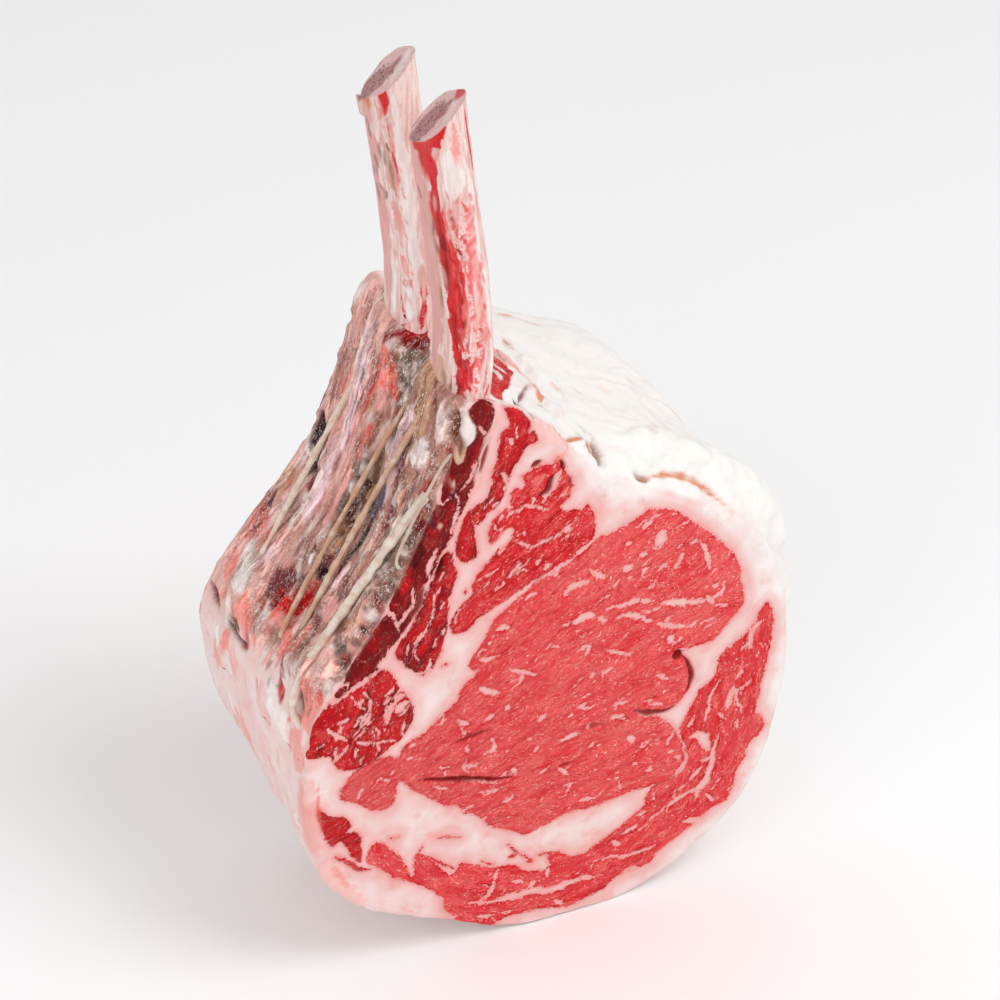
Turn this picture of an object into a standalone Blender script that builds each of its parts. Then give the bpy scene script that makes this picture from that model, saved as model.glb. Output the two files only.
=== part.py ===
"""Raw beef rib roast: a thick cut with two long rib bones, standing on its round fat edge.

The cut faces look along -Y and +Y, the bones stand up along +Z, and the hollow bone side looks
along -X.  Every size below is in millimetres; place() turns a section point into metres.
"""
import math

import bmesh
import bpy
import numpy as np
from mathutils import Vector

MM = 0.001

# ---- driving dimensions -------------------------------------------------------------------
FRONT, BACK = -49.0, 49.0            # the two saw cuts, 98 mm apart
AXIS_X, AXIS_Z = -2.0, 105.0         # the line along Y that the sections are drawn around
RIM = 3.5                            # how far a cut's edge is rounded
GAP = 0.3                            # clearance between neighbouring solids

# The cut's outline as (x, z), from the top beside the bones, round the fat edge and the flat
# foot, and up the bone side.
OUTLINE = [
    (-31, 241), (-19, 239), (3, 221), (26, 199), (55, 182), (83, 164), (99, 139), (104, 104),
    (100, 66), (87, 33), (62, 11), (31, -1.5), (-8, -2), (-40, 11), (-70, 25), (-92, 45),
    (-100, 78), (-99, 112), (-91, 130), (-76, 149), (-57, 181), (-42, 214),
]
# Where the roast is fuller or leaner than its front cut:
# angle about the axis, half width in degrees, height, middle and half width along Y.
SWELLS = {
    "fat shoulder": (34, 32, 12.0, -32, 14),
    "top crest": (66, 32, 24.0, 28, 62),
    "heel behind the ribs": (157, 27, 10.0, 42, 42),
    "lean underside": (227, 24, -12.0, 50, 55),
}
SWELL_START = 9.0                    # a swell grows over this depth behind the front cut

# Muscles that run through the roast, as outlines (x, z) at the front cut.
EYE_MUSCLE = [
    (-86, 91), (-76, 97), (-61, 101), (-47, 109), (-36, 121), (-31, 135), (-21, 150), (-3, 158),
    (15, 168), (29, 174), (43, 178), (55, 173), (68, 161), (79, 147), (81, 130), (74, 116),
    (60, 111), (59, 97), (52, 85), (56, 71), (52, 56), (36, 52), (10, 49), (-6, 46), (-20, 51),
    (-34, 65), (-54, 78), (-74, 80),
]
CAP_MUSCLE = [
    (93, 123), (96, 109), (95, 88), (92, 65), (85, 49), (73, 34), (57, 22), (38, 15), (14, 10),
    (-12, 11), (-34, 17), (-54, 28), (-67, 41), (-75, 54), (-71, 61), (-61, 54), (-48, 41),
    (-31, 39), (-12, 31), (8, 30), (25, 35), (42, 46), (57, 54), (60, 66), (63, 84), (70, 98),
    (79, 110), (88, 118),
]
RIB_MEAT = [
    (-12, 233), (-8, 221), (-13, 206), (2, 212), (9, 198), (18, 186), (18, 175), (0, 164),
    (-24, 154), (-38, 147), (-50, 133), (-57, 119), (-58, 109), (-68, 101), (-82, 99),
    (-97, 104), (-114, 112), (-110, 136), (-92, 158), (-74, 190), (-58, 225), (-36, 252),
]
MUSCLE_FOLLOWS = 0.4                 # share of the outer swells that the muscles take up

# Ribs: one bent bar each, drawn in the XZ plane and set at its own depth.
RIB_PATH = [
    (-39, 382), (-35, 345), (-31, 312), (-28, 288), (-26, 262), (-28, 239), (-36, 213),
    (-52, 180), (-70, 149), (-81, 134),
]
RIB_DEPTHS = {"rib_front": -29.0, "rib_back": 14.0}
RIB_SAW_HEIGHTS = {"rib_front": 347.0, "rib_back": 345.0}
RIB_SAW_X = -36.0                    # where the saw cut crosses the height above
RIB_SAW_SLOPE = (1.13, -0.52)        # rise of the saw cut along X and along Y
RIB_HALF_WIDTH = 17.0                # along Y
RIB_HALF_THICKNESS = 8.6
RIB_SQUARENESS = 2.6                 # exponent of the section: 2 is an ellipse

# Strands drawn tight over the bone side: radius and points (x, y, z).
STRANDS = {
    "strand_1": (0.9, [(-36, 27, 220), (-43, 24, 223), (-89, 24, 147), (-90, 25, 139)]),
    "strand_2": (0.9, [(-36, -10, 220), (-42, -10, 222), (-87, -5, 142), (-87, -4, 134)]),
    "strand_3": (1.0, [(-36, -22, 218), (-44, -24, 222), (-82, -15, 149), (-82, -13, 139)]),
    "strand_4": (1.5, [(-42, -40, 204), (-52, -43, 201), (-82, -32, 150), (-93, -32, 135),
                       (-99, -36, 123), (-95, -38, 113)]),
    "strand_5": (0.7, [(-36, -45, 223), (-44, -47, 217), (-60, -46, 185), (-55, -44, 177)]),
}
STRAND_STEP = 6.0                    # spacing of a strand's points

# ---- fineness -----------------------------------------------------------------------------
BODY_SIDES = 60
MUSCLE_SIDES = 44
RIB_SIDES = 18
RIB_STATIONS = 20
BODY_DEPTHS = [FRONT, FRONT + 1.2, FRONT + RIM, -35, -20, -4, 12, 28, BACK - RIM, BACK - 1.2, BACK]
MUSCLE_DEPTHS = [FRONT, -32, -12, 10, 30, BACK]

COLOURS = {                          # linear red, green, blue, then roughness
    "fat": (0.82, 0.66, 0.58, 0.45),
    "meat": (0.50, 0.03, 0.03, 0.35),
    "dark meat": (0.30, 0.01, 0.02, 0.35),
    "bone": (0.72, 0.50, 0.45, 0.50),
    "strand": (0.78, 0.66, 0.52, 0.60),
}


def clear_scene():
    for obj in list(bpy.data.objects):
        bpy.data.objects.remove(obj, do_unlink=True)


def new_collection(name):
    collection = bpy.data.collections.new(name)
    bpy.context.scene.collection.children.link(collection)
    return collection


def make_material(name):
    red, green, blue, roughness = COLOURS[name]
    material = bpy.data.materials.new(name)
    material.use_nodes = True
    shader = material.node_tree.nodes["Principled BSDF"]
    shader.inputs["Base Color"].default_value = (red, green, blue, 1.0)
    shader.inputs["Roughness"].default_value = roughness
    shader.inputs["Metallic"].default_value = 0.0
    return material


def place(x, y, z):
    """A point of the drawing, in millimetres, as a Vector in metres."""
    return Vector(((AXIS_X + x) * MM, y * MM, z * MM))


# ---- curves -------------------------------------------------------------------------------
def smooth_through(points, steps, closed):
    """Catmull-Rom curve through the points, with `steps` samples a span."""
    points = [np.array(p, float) for p in points]
    count = len(points)
    spans = count if closed else count - 1
    samples = []
    for i in range(spans):
        if closed:
            a, b, c, d = (points[(i + k) % count] for k in (-1, 0, 1, 2))
        else:
            a, b = points[max(i - 1, 0)], points[i]
            c, d = points[i + 1], points[min(i + 2, count - 1)]
        for t in np.linspace(0.0, 1.0, steps, endpoint=False):
            samples.append(0.5 * (2 * b + (c - a) * t + (2 * a - 5 * b + 4 * c - d) * t * t
                                  + (3 * b - a - 3 * c + d) * t ** 3))
    if not closed:
        samples.append(points[-1])
    return np.array(samples)


def even_spacing(samples, count, closed):
    """The same curve as `count` points at equal distances."""
    if closed:
        samples = np.vstack([samples, samples[:1]])
    lengths = np.r_[0.0, np.cumsum(np.linalg.norm(np.diff(samples, axis=0), axis=1))]
    marks = np.linspace(0.0, lengths[-1], count, endpoint=not closed)
    return np.stack([np.interp(marks, lengths, column) for column in samples.T], axis=1)


def grow(outline, distance):
    """A closed outline moved outward by a distance."""
    ahead = np.roll(outline, -1, axis=0) - np.roll(outline, 1, axis=0)
    normals = np.stack([ahead[:, 1], -ahead[:, 0]], axis=1)
    normals /= np.linalg.norm(normals, axis=1)[:, None]
    area = np.sum(outline[:, 0] * np.roll(outline[:, 1], -1)
                  - outline[:, 1] * np.roll(outline[:, 0], -1))
    return outline + normals * distance * math.copysign(1.0, area)


# ---- the body's surface -------------------------------------------------------------------
def front_radius_table():
    samples = smooth_through(OUTLINE, 24, closed=True) - (0.0, AXIS_Z)
    angles = np.degrees(np.arctan2(samples[:, 1], samples[:, 0])) % 360
    order = np.argsort(angles)
    return angles[order], np.hypot(samples[:, 0], samples[:, 1])[order]


FRONT_ANGLES, FRONT_RADII = front_radius_table()


def bell(x):
    return math.exp(-x * x)


def front_radius(angle):
    return float(np.interp(angle % 360, FRONT_ANGLES, FRONT_RADII, period=360))


def swell(angle, y):
    """How much fuller the roast is here than its front cut."""
    total = 0.0
    for middle, half_width, height, depth, half_depth in SWELLS.values():
        off = (angle - middle + 180) % 360 - 180
        total += height * bell(off / half_width) * bell((y - depth) / half_depth)
    return total * (1.0 - bell((y - FRONT) / SWELL_START))


def rim_inset(y):
    """The rounding of the body's edge beside a cut."""
    inside = min(y - FRONT, BACK - y, RIM)
    return RIM - math.sqrt(RIM ** 2 - (RIM - inside) ** 2)


def body_point(angle, y):
    radius = front_radius(angle) + swell(angle, y) - rim_inset(y)
    x = radius * math.cos(math.radians(angle))
    z = AXIS_Z + radius * math.sin(math.radians(angle))
    return place(x, y, max(z, 0.0))


def follow_body(x, z, y):
    """A point inside the front cut, carried to depth y as the roast swells."""
    angle = math.degrees(math.atan2(z - AXIS_Z, x))
    scale = 1.0 + MUSCLE_FOLLOWS * swell(angle, y) / front_radius(angle)
    return place(x * scale, y, AXIS_Z + (z - AXIS_Z) * scale)


# ---- solids -------------------------------------------------------------------------------
def loft(name, rings, collection, material=None):
    """A closed solid through rings of equal length, capped at both ends."""
    mesh_builder = bmesh.new()
    rows = [[mesh_builder.verts.new(point) for point in ring] for ring in rings]
    sides = len(rings[0])
    for lower, upper in zip(rows, rows[1:]):
        for i in range(sides):
            j = (i + 1) % sides
            mesh_builder.faces.new((lower[i], lower[j], upper[j], upper[i]))
    mesh_builder.faces.new(rows[0])
    mesh_builder.faces.new(rows[-1])
    bmesh.ops.recalc_face_normals(mesh_builder, faces=mesh_builder.faces)
    mesh = bpy.data.meshes.new(name)
    mesh_builder.to_mesh(mesh)
    mesh_builder.free()
    mesh.shade_smooth()
    mesh.set_sharp_from_angle(angle=math.radians(40))
    obj = bpy.data.objects.new(name, mesh)
    if material:
        mesh.materials.append(material)
    collection.objects.link(obj)
    return obj


def body_solid(name, collection, material=None):
    angles = np.linspace(0.0, 360.0, BODY_SIDES, endpoint=False)
    rings = [[body_point(angle, y) for angle in angles] for y in BODY_DEPTHS]
    return loft(name, rings, collection, material)


def muscle_solid(name, outline, collection, material=None, growth=0.0):
    """A muscle along the whole roast; a grown one is a cutter and runs past both cuts."""
    flat = even_spacing(smooth_through(outline, 10, closed=True), MUSCLE_SIDES, closed=True)
    flat = grow(flat, growth)
    rings = [[follow_body(x, z, y) for x, z in flat] for y in MUSCLE_DEPTHS]
    if growth:
        past_the_cut = Vector((0.0, RIM * MM, 0.0))
        rings.insert(0, [point - past_the_cut for point in rings[0]])
        rings.append([point + past_the_cut for point in rings[-1]])
    return loft(name, rings, collection, material)


def rib_section(growth):
    """The rib's section: (along the normal of its path, along Y)."""
    points = []
    for i in range(RIB_SIDES):
        turn = math.tau * i / RIB_SIDES
        across = math.copysign(abs(math.cos(turn)) ** (2 / RIB_SQUARENESS), math.cos(turn))
        along = math.copysign(abs(math.sin(turn)) ** (2 / RIB_SQUARENESS), math.sin(turn))
        points.append((across * (RIB_HALF_THICKNESS + growth), along * (RIB_HALF_WIDTH + growth)))
    return points


def rib_solid(name, node, collection, material=None, growth=0.0):
    depth = RIB_DEPTHS[node]
    path = even_spacing(smooth_through(RIB_PATH, 12, closed=False), RIB_STATIONS, closed=False)
    tangents = np.gradient(path, axis=0)
    tangents /= np.linalg.norm(tangents, axis=1)[:, None]
    tip = path[-1] + tangents[-1] * growth
    path[-1] = tip
    rings = []
    for (x, z), (tx, tz) in zip(path, tangents):
        rings.append([place(x - tz * across, depth + along, z + tx * across)
                      for across, along in rib_section(growth)])
    obj = loft(name, rings, collection, material)
    saw(obj, place(RIB_SAW_X, depth, RIB_SAW_HEIGHTS[node] + growth))
    return obj


def saw(obj, point):
    """Cuts the top of a rib off along the slanted saw plane."""
    slope_x, slope_y = RIB_SAW_SLOPE
    mesh_builder = bmesh.new()
    mesh_builder.from_mesh(obj.data)
    everything = mesh_builder.verts[:] + mesh_builder.edges[:] + mesh_builder.faces[:]
    cut = bmesh.ops.bisect_plane(mesh_builder, geom=everything, plane_co=point,
                                 plane_no=Vector((-slope_x, -slope_y, 1.0)), clear_outer=True)
    edges = [item for item in cut["geom_cut"] if isinstance(item, bmesh.types.BMEdge)]
    bmesh.ops.contextual_create(mesh_builder, geom=edges)
    bmesh.ops.recalc_face_normals(mesh_builder, faces=mesh_builder.faces)
    mesh_builder.to_mesh(obj.data)
    mesh_builder.free()


def strand_solid(name, node, collection, material=None, growth=0.0):
    """A round strand as a welded mesh made from a bevelled curve."""
    radius, points = STRANDS[node]
    samples = smooth_through(points, 12, closed=False)
    length = np.sum(np.linalg.norm(np.diff(samples, axis=0), axis=1))
    route = even_spacing(samples, int(length / STRAND_STEP) + 1, closed=False)
    curve = bpy.data.curves.new(name, "CURVE")
    curve.dimensions = "3D"
    curve.bevel_depth = (radius + growth) * MM
    curve.bevel_resolution = 2
    curve.use_fill_caps = True
    spline = curve.splines.new("POLY")
    spline.points.add(len(route) - 1)
    for point, (x, y, z) in zip(spline.points, route):
        point.co = (*place(x, y, z), 1.0)
    tube = bpy.data.objects.new(name + "_curve", curve)
    collection.objects.link(tube)
    bpy.context.view_layer.update()
    evaluated = tube.evaluated_get(bpy.context.evaluated_depsgraph_get())
    mesh = bpy.data.meshes.new_from_object(evaluated)
    bpy.data.objects.remove(tube, do_unlink=True)
    mesh_builder = bmesh.new()
    mesh_builder.from_mesh(mesh)
    bmesh.ops.remove_doubles(mesh_builder, verts=mesh_builder.verts, dist=0.05 * MM)
    bmesh.ops.recalc_face_normals(mesh_builder, faces=mesh_builder.faces)
    mesh_builder.to_mesh(mesh)
    mesh_builder.free()
    mesh.shade_smooth()
    if material:
        mesh.materials.append(material)
    obj = bpy.data.objects.new(name, mesh)
    collection.objects.link(obj)
    return obj


def use_as_cutter(obj):
    obj.hide_render = True
    obj.display_type = "WIRE"
    return obj


def combine(obj, other, operation):
    modifier = obj.modifiers.new(f"{operation.lower()}_{other.name}", "BOOLEAN")
    modifier.operation = operation
    modifier.object = other


def build():
    clear_scene()
    parts = new_collection("raw_beef_rib_roast")
    cutters = new_collection("cutters")
    materials = {name: make_material(name) for name in COLOURS}

    strand_cutters = []
    for node in STRANDS:
        strand_solid(node, node, parts, materials["strand"])
        strand_cutters.append(use_as_cutter(strand_solid(node + "_room", node, cutters, growth=GAP)))

    rib_cutters = []
    for node in RIB_DEPTHS:
        rib = rib_solid(node, node, parts, materials["bone"])
        for cutter in strand_cutters:
            combine(rib, cutter, "DIFFERENCE")
        rib_cutters.append(use_as_cutter(rib_solid(node + "_room", node, cutters, growth=GAP)))

    muscle_solid("eye_muscle", EYE_MUSCLE, parts, materials["meat"])
    muscle_solid("cap_muscle", CAP_MUSCLE, parts, materials["meat"])
    rib_meat = muscle_solid("rib_meat", RIB_MEAT, parts, materials["dark meat"])
    combine(rib_meat, use_as_cutter(body_solid("body_outline", cutters)), "INTERSECT")
    for cutter in rib_cutters + strand_cutters:
        combine(rib_meat, cutter, "DIFFERENCE")

    fat = body_solid("fat", parts, materials["fat"])
    for name, outline in (("eye", EYE_MUSCLE), ("cap", CAP_MUSCLE), ("rib_meat", RIB_MEAT)):
        room = use_as_cutter(muscle_solid(name + "_room", outline, cutters, growth=GAP))
        combine(fat, room, "DIFFERENCE")
    for cutter in rib_cutters + strand_cutters:
        combine(fat, cutter, "DIFFERENCE")


build()
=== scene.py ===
import math
from itertools import product

import bpy
import numpy as np
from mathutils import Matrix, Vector
from mathutils.geometry import delaunay_2d_cdt
from mathutils.kdtree import KDTree


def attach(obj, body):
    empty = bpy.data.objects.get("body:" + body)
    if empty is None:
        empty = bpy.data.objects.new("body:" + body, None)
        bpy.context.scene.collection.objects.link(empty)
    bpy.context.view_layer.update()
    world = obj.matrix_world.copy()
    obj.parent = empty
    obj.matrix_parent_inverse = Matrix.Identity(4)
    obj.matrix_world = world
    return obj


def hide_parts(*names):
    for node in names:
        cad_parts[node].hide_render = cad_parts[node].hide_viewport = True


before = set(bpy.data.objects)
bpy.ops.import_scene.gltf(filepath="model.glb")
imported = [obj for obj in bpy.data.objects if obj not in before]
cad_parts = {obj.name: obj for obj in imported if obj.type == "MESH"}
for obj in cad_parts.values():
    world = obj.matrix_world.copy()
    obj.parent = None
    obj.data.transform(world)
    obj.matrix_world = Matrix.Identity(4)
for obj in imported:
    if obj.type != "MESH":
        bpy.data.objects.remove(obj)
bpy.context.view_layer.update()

MM = 0.001

# ---- the solids' shape, repeated ----------------------------------------------------------
FRONT, BACK = -49.0, 49.0
AXIS_X, AXIS_Z = -2.0, 105.0
RIM = 3.5
RIB_DEPTHS = {"rib_front": -29.0, "rib_back": 14.0}
OUTLINE = [
    (-31, 241), (-19, 239), (3, 221), (26, 199), (55, 182), (83, 164), (99, 139), (104, 104),
    (100, 66), (87, 33), (62, 11), (31, -1.5), (-8, -2), (-40, 11), (-70, 25), (-92, 45),
    (-100, 78), (-99, 112), (-91, 130), (-76, 149), (-57, 181), (-42, 214),
]
SWELLS = {
    # middle and half width in degrees, height, depth and half depth
    "fat shoulder": (34, 32, 12.0, -32, 14),
    "top crest": (66, 32, 24.0, 28, 62),
    "heel behind the ribs": (157, 27, 10.0, 42, 42),
    "lean underside": (227, 24, -12.0, 50, 55),
}
SWELL_START = 9.0
MUSCLE_FOLLOWS = 0.4
EYE_MUSCLE = [
    (-86, 91), (-76, 97), (-61, 101), (-47, 109), (-36, 121), (-31, 135), (-21, 150), (-3, 158),
    (15, 168), (29, 174), (43, 178), (55, 173), (68, 161), (79, 147), (81, 130), (74, 116),
    (60, 111), (59, 97), (52, 85), (56, 71), (52, 56), (36, 52), (10, 49), (-6, 46), (-20, 51),
    (-34, 65), (-54, 78), (-74, 80),
]
CAP_MUSCLE = [
    (93, 123), (96, 109), (95, 88), (92, 65), (85, 49), (73, 34), (57, 22), (38, 15), (14, 10),
    (-12, 11), (-34, 17), (-54, 28), (-67, 41), (-75, 54), (-71, 61), (-61, 54), (-48, 41),
    (-31, 39), (-12, 31), (8, 30), (25, 35), (42, 46), (57, 54), (60, 66), (63, 84), (70, 98),
    (79, 110), (88, 118),
]
RIB_MEAT = [
    (-12, 233), (-8, 221), (-13, 206), (2, 212), (9, 198), (18, 186), (18, 175), (0, 164),
    (-24, 154), (-38, 147), (-50, 133), (-57, 119), (-58, 109), (-68, 101), (-82, 99),
    (-97, 104), (-114, 112), (-110, 136), (-92, 158), (-74, 190), (-58, 225), (-36, 252),
]

# ---- fineness (mm) ------------------------------------------------------------------------
COARSE = 1.0
FACE_STEP = 0.66 * COARSE            # triangles on the front cut
BACK_STEP = 1.15 * COARSE
LOOP_STEP = 1.12 * COARSE            # along the outer edge
BONE_SIDE_STEP = 0.78 * COARSE       # along the hollow bone side, which runs from
BONE_SIDE_START = 556.0              # this length round the outer edge, past its end,
BONE_SIDE_TOP = 62.0                 # to this one
MUSCLE_STEP = 0.85 * COARSE
ROW_STEP = 1.0 * COARSE              # front to back
RIM_ROWS = 5
WALL_ROWS = 7                        # hidden walls between the pieces
OPEN_WALL_ROWS = 33                  # the same where the wall meets the edge
FIELD_REACH = 8.0                    # distances are followed this far from a boundary


# ---- curves -------------------------------------------------------------------------------
def smooth_through(points, steps, closed):
    """Catmull-Rom curve through the points, with `steps` samples a span."""
    points = np.array(points, float)
    count = len(points)
    samples = []
    for i in range(count if closed else count - 1):
        if closed:
            a, b, c, d = (points[(i + k) % count] for k in (-1, 0, 1, 2))
        else:
            a, b, c, d = (points[min(max(i + k, 0), count - 1)] for k in (-1, 0, 1, 2))
        for t in np.linspace(0.0, 1.0, steps, endpoint=False):
            samples.append(0.5 * (2 * b + (c - a) * t + (2 * a - 5 * b + 4 * c - d) * t * t
                                  + (3 * b - a - 3 * c + d) * t ** 3))
    if not closed:
        samples.append(points[-1])
    return np.array(samples)


def lengths_along(samples):
    return np.r_[0.0, np.cumsum(np.linalg.norm(np.diff(samples, axis=0), axis=1))]


def at_lengths(samples, marks):
    lengths = lengths_along(samples)
    return np.stack([np.interp(marks, lengths, column) for column in samples.T], axis=1)


def even_spacing(samples, step, closed):
    if closed:
        samples = np.vstack([samples, samples[:1]])
    total = lengths_along(samples)[-1]
    count = max(int(round(total / step)), 2)
    return at_lengths(samples, np.linspace(0.0, total, count, endpoint=not closed))


# ---- soft steps and noise -----------------------------------------------------------------
def soft_step(value, low, high):
    t = np.clip((value - low) / (high - low), 0.0, 1.0)
    return t * t * (3 - 2 * t)


LATTICE_SIZE = 48
LATTICE = np.random.default_rng(11).uniform(-1.0, 1.0, (LATTICE_SIZE,) * 3)


def noise(points, size, seed=0):
    """Smooth noise from -1 to 1 at (N, 3) points; `size` is the width of a lump, in mm."""
    place_in_lattice = points / np.array(size, float) + 5.73 * seed
    corner = np.floor(place_in_lattice).astype(int)
    part = place_in_lattice - corner
    part = part * part * (3 - 2 * part)
    total = np.zeros(len(points))
    for step in product((0, 1), repeat=3):
        weight = np.prod(np.where(step, part, 1 - part), axis=1)
        i, j, k = ((corner + step) % LATTICE_SIZE).T
        total += weight * LATTICE[i, j, k]
    return total


def layered_noise(points, size, octaves=3, seed=0):
    total = np.zeros(len(points))
    for octave in range(octaves):
        total += noise(points, np.array(size, float) / 2 ** octave, seed + octave) / 2 ** octave
    return total


def between(value, fade_in, fade_out):
    """1 from where a value has faded in to where it fades out, 0 beyond."""
    return soft_step(value, *fade_in) * soft_step(value, *fade_out)


def ridges(points, size, seed=0):
    """1 on thin wandering lines, 0 away from them."""
    return 1.0 - np.clip(np.abs(noise(points, size, seed)) * 4.0, 0.0, 1.0)


# ---- distances in a plane -----------------------------------------------------------------
def inside(points, outline):
    """True for the (N, 2) points within a closed outline."""
    result = np.zeros(len(points), bool)
    for (ax, az), (bx, bz) in zip(outline, np.roll(outline, -1, axis=0)):
        if az == bz:
            continue
        spans = (points[:, 1] < az) != (points[:, 1] < bz)
        crossing = ax + (points[:, 1] - az) * (bx - ax) / (bz - az)
        result ^= spans & (points[:, 0] < crossing)
    return result


def close_to(points, route, reach):
    low, high = route.min(axis=0) - reach, route.max(axis=0) + reach
    return np.flatnonzero(np.all((points > low) & (points < high), axis=1))


def depth_inside(points, outline):
    """Distance in from a closed outline, negative outside, held to FIELD_REACH either way."""
    outline = even_spacing(smooth_through(outline, 8, closed=True), 1.6, closed=True)
    depth = np.full(len(points), -FIELD_REACH)
    chosen = close_to(points, outline, FIELD_REACH)
    if not len(chosen):
        return depth
    spot = points[chosen]
    nearest = np.full(len(chosen), FIELD_REACH)
    for a, b in zip(outline, np.roll(outline, -1, axis=0)):
        along = b - a
        t = np.clip((spot - a) @ along / (along @ along), 0.0, 1.0)
        nearest = np.minimum(nearest, np.linalg.norm(spot - a - t[:, None] * along, axis=1))
    depth[chosen] = np.where(inside(spot, outline), nearest, -nearest)
    return depth


def depth_in_stroke(points, width, route):
    """Distance in from the edge of a stroke that is widest midway and tapers to both ends."""
    curve = smooth_through(route, 5, closed=False)
    total = lengths_along(curve)[-1]
    depth = np.full(len(points), -FIELD_REACH)
    chosen = close_to(points, curve, FIELD_REACH)
    if not len(chosen):
        return depth
    spot = points[chosen]
    best = np.full(len(chosen), -FIELD_REACH)
    for start, a, b in zip(lengths_along(curve), curve, curve[1:]):
        along = b - a
        length = np.linalg.norm(along)
        if length == 0:
            continue
        t = np.clip((spot - a) @ along / length ** 2, 0.0, 1.0)
        share = (start + t * length) / total
        half = width / 2 * np.clip(4 * share * (1 - share), 0.02, 1.0) ** 0.65
        best = np.maximum(best, half - np.linalg.norm(spot - a - t[:, None] * along, axis=1))
    depth[chosen] = best
    return depth


# ---- the body's skin ----------------------------------------------------------------------
def front_radius_table():
    samples = smooth_through(OUTLINE, 24, closed=True) - (0.0, AXIS_Z)
    angles = np.degrees(np.arctan2(samples[:, 1], samples[:, 0])) % 360
    order = np.argsort(angles)
    return angles[order], np.hypot(samples[:, 0], samples[:, 1])[order]


FRONT_ANGLES, FRONT_RADII = front_radius_table()


def front_radius(angle):
    return np.interp(angle % 360, FRONT_ANGLES, FRONT_RADII, period=360)


def swell(angle, y):
    total = 0.0
    for middle, half_width, height, depth, half_depth in SWELLS.values():
        off = (angle - middle + 180) % 360 - 180
        total = total + height * np.exp(-(off / half_width) ** 2 - ((y - depth) / half_depth) ** 2)
    return total * (1.0 - np.exp(-((y - FRONT) / SWELL_START) ** 2))


def rim_inset(y):
    inside_cut = np.minimum(np.minimum(y - FRONT, BACK - y), RIM)
    return RIM - np.sqrt(np.maximum(RIM ** 2 - (RIM - inside_cut) ** 2, 0.0))


def section_angle(flat):
    return np.degrees(np.arctan2(flat[:, 1] - AXIS_Z, flat[:, 0]))


def carried(flat, y):
    """Drawing points (N, 2) carried to depth y: the edge swells fully, the inside partly."""
    angle = section_angle(flat)
    edge = front_radius(angle)
    share = np.hypot(flat[:, 0], flat[:, 1] - AXIS_Z) / (edge - RIM)
    follows = MUSCLE_FOLLOWS + (1 - MUSCLE_FOLLOWS) * soft_step(share, 0.75, 1.0)
    scale = 1.0 + follows * swell(angle, y) / edge
    z = np.maximum(AXIS_Z + (flat[:, 1] - AXIS_Z) * scale, 0.0)
    return np.stack([AXIS_X + flat[:, 0] * scale, np.full(len(flat), y) + 0.0 * angle, z], axis=1)


def side_points(angle, y):
    radius = front_radius(angle) + swell(angle, y) - rim_inset(y)
    turn = np.radians(angle)
    z = np.maximum(AXIS_Z + radius * np.sin(turn), 0.0)
    return np.stack([AXIS_X + radius * np.cos(turn), np.full(len(turn), y), z], axis=1)


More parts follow.
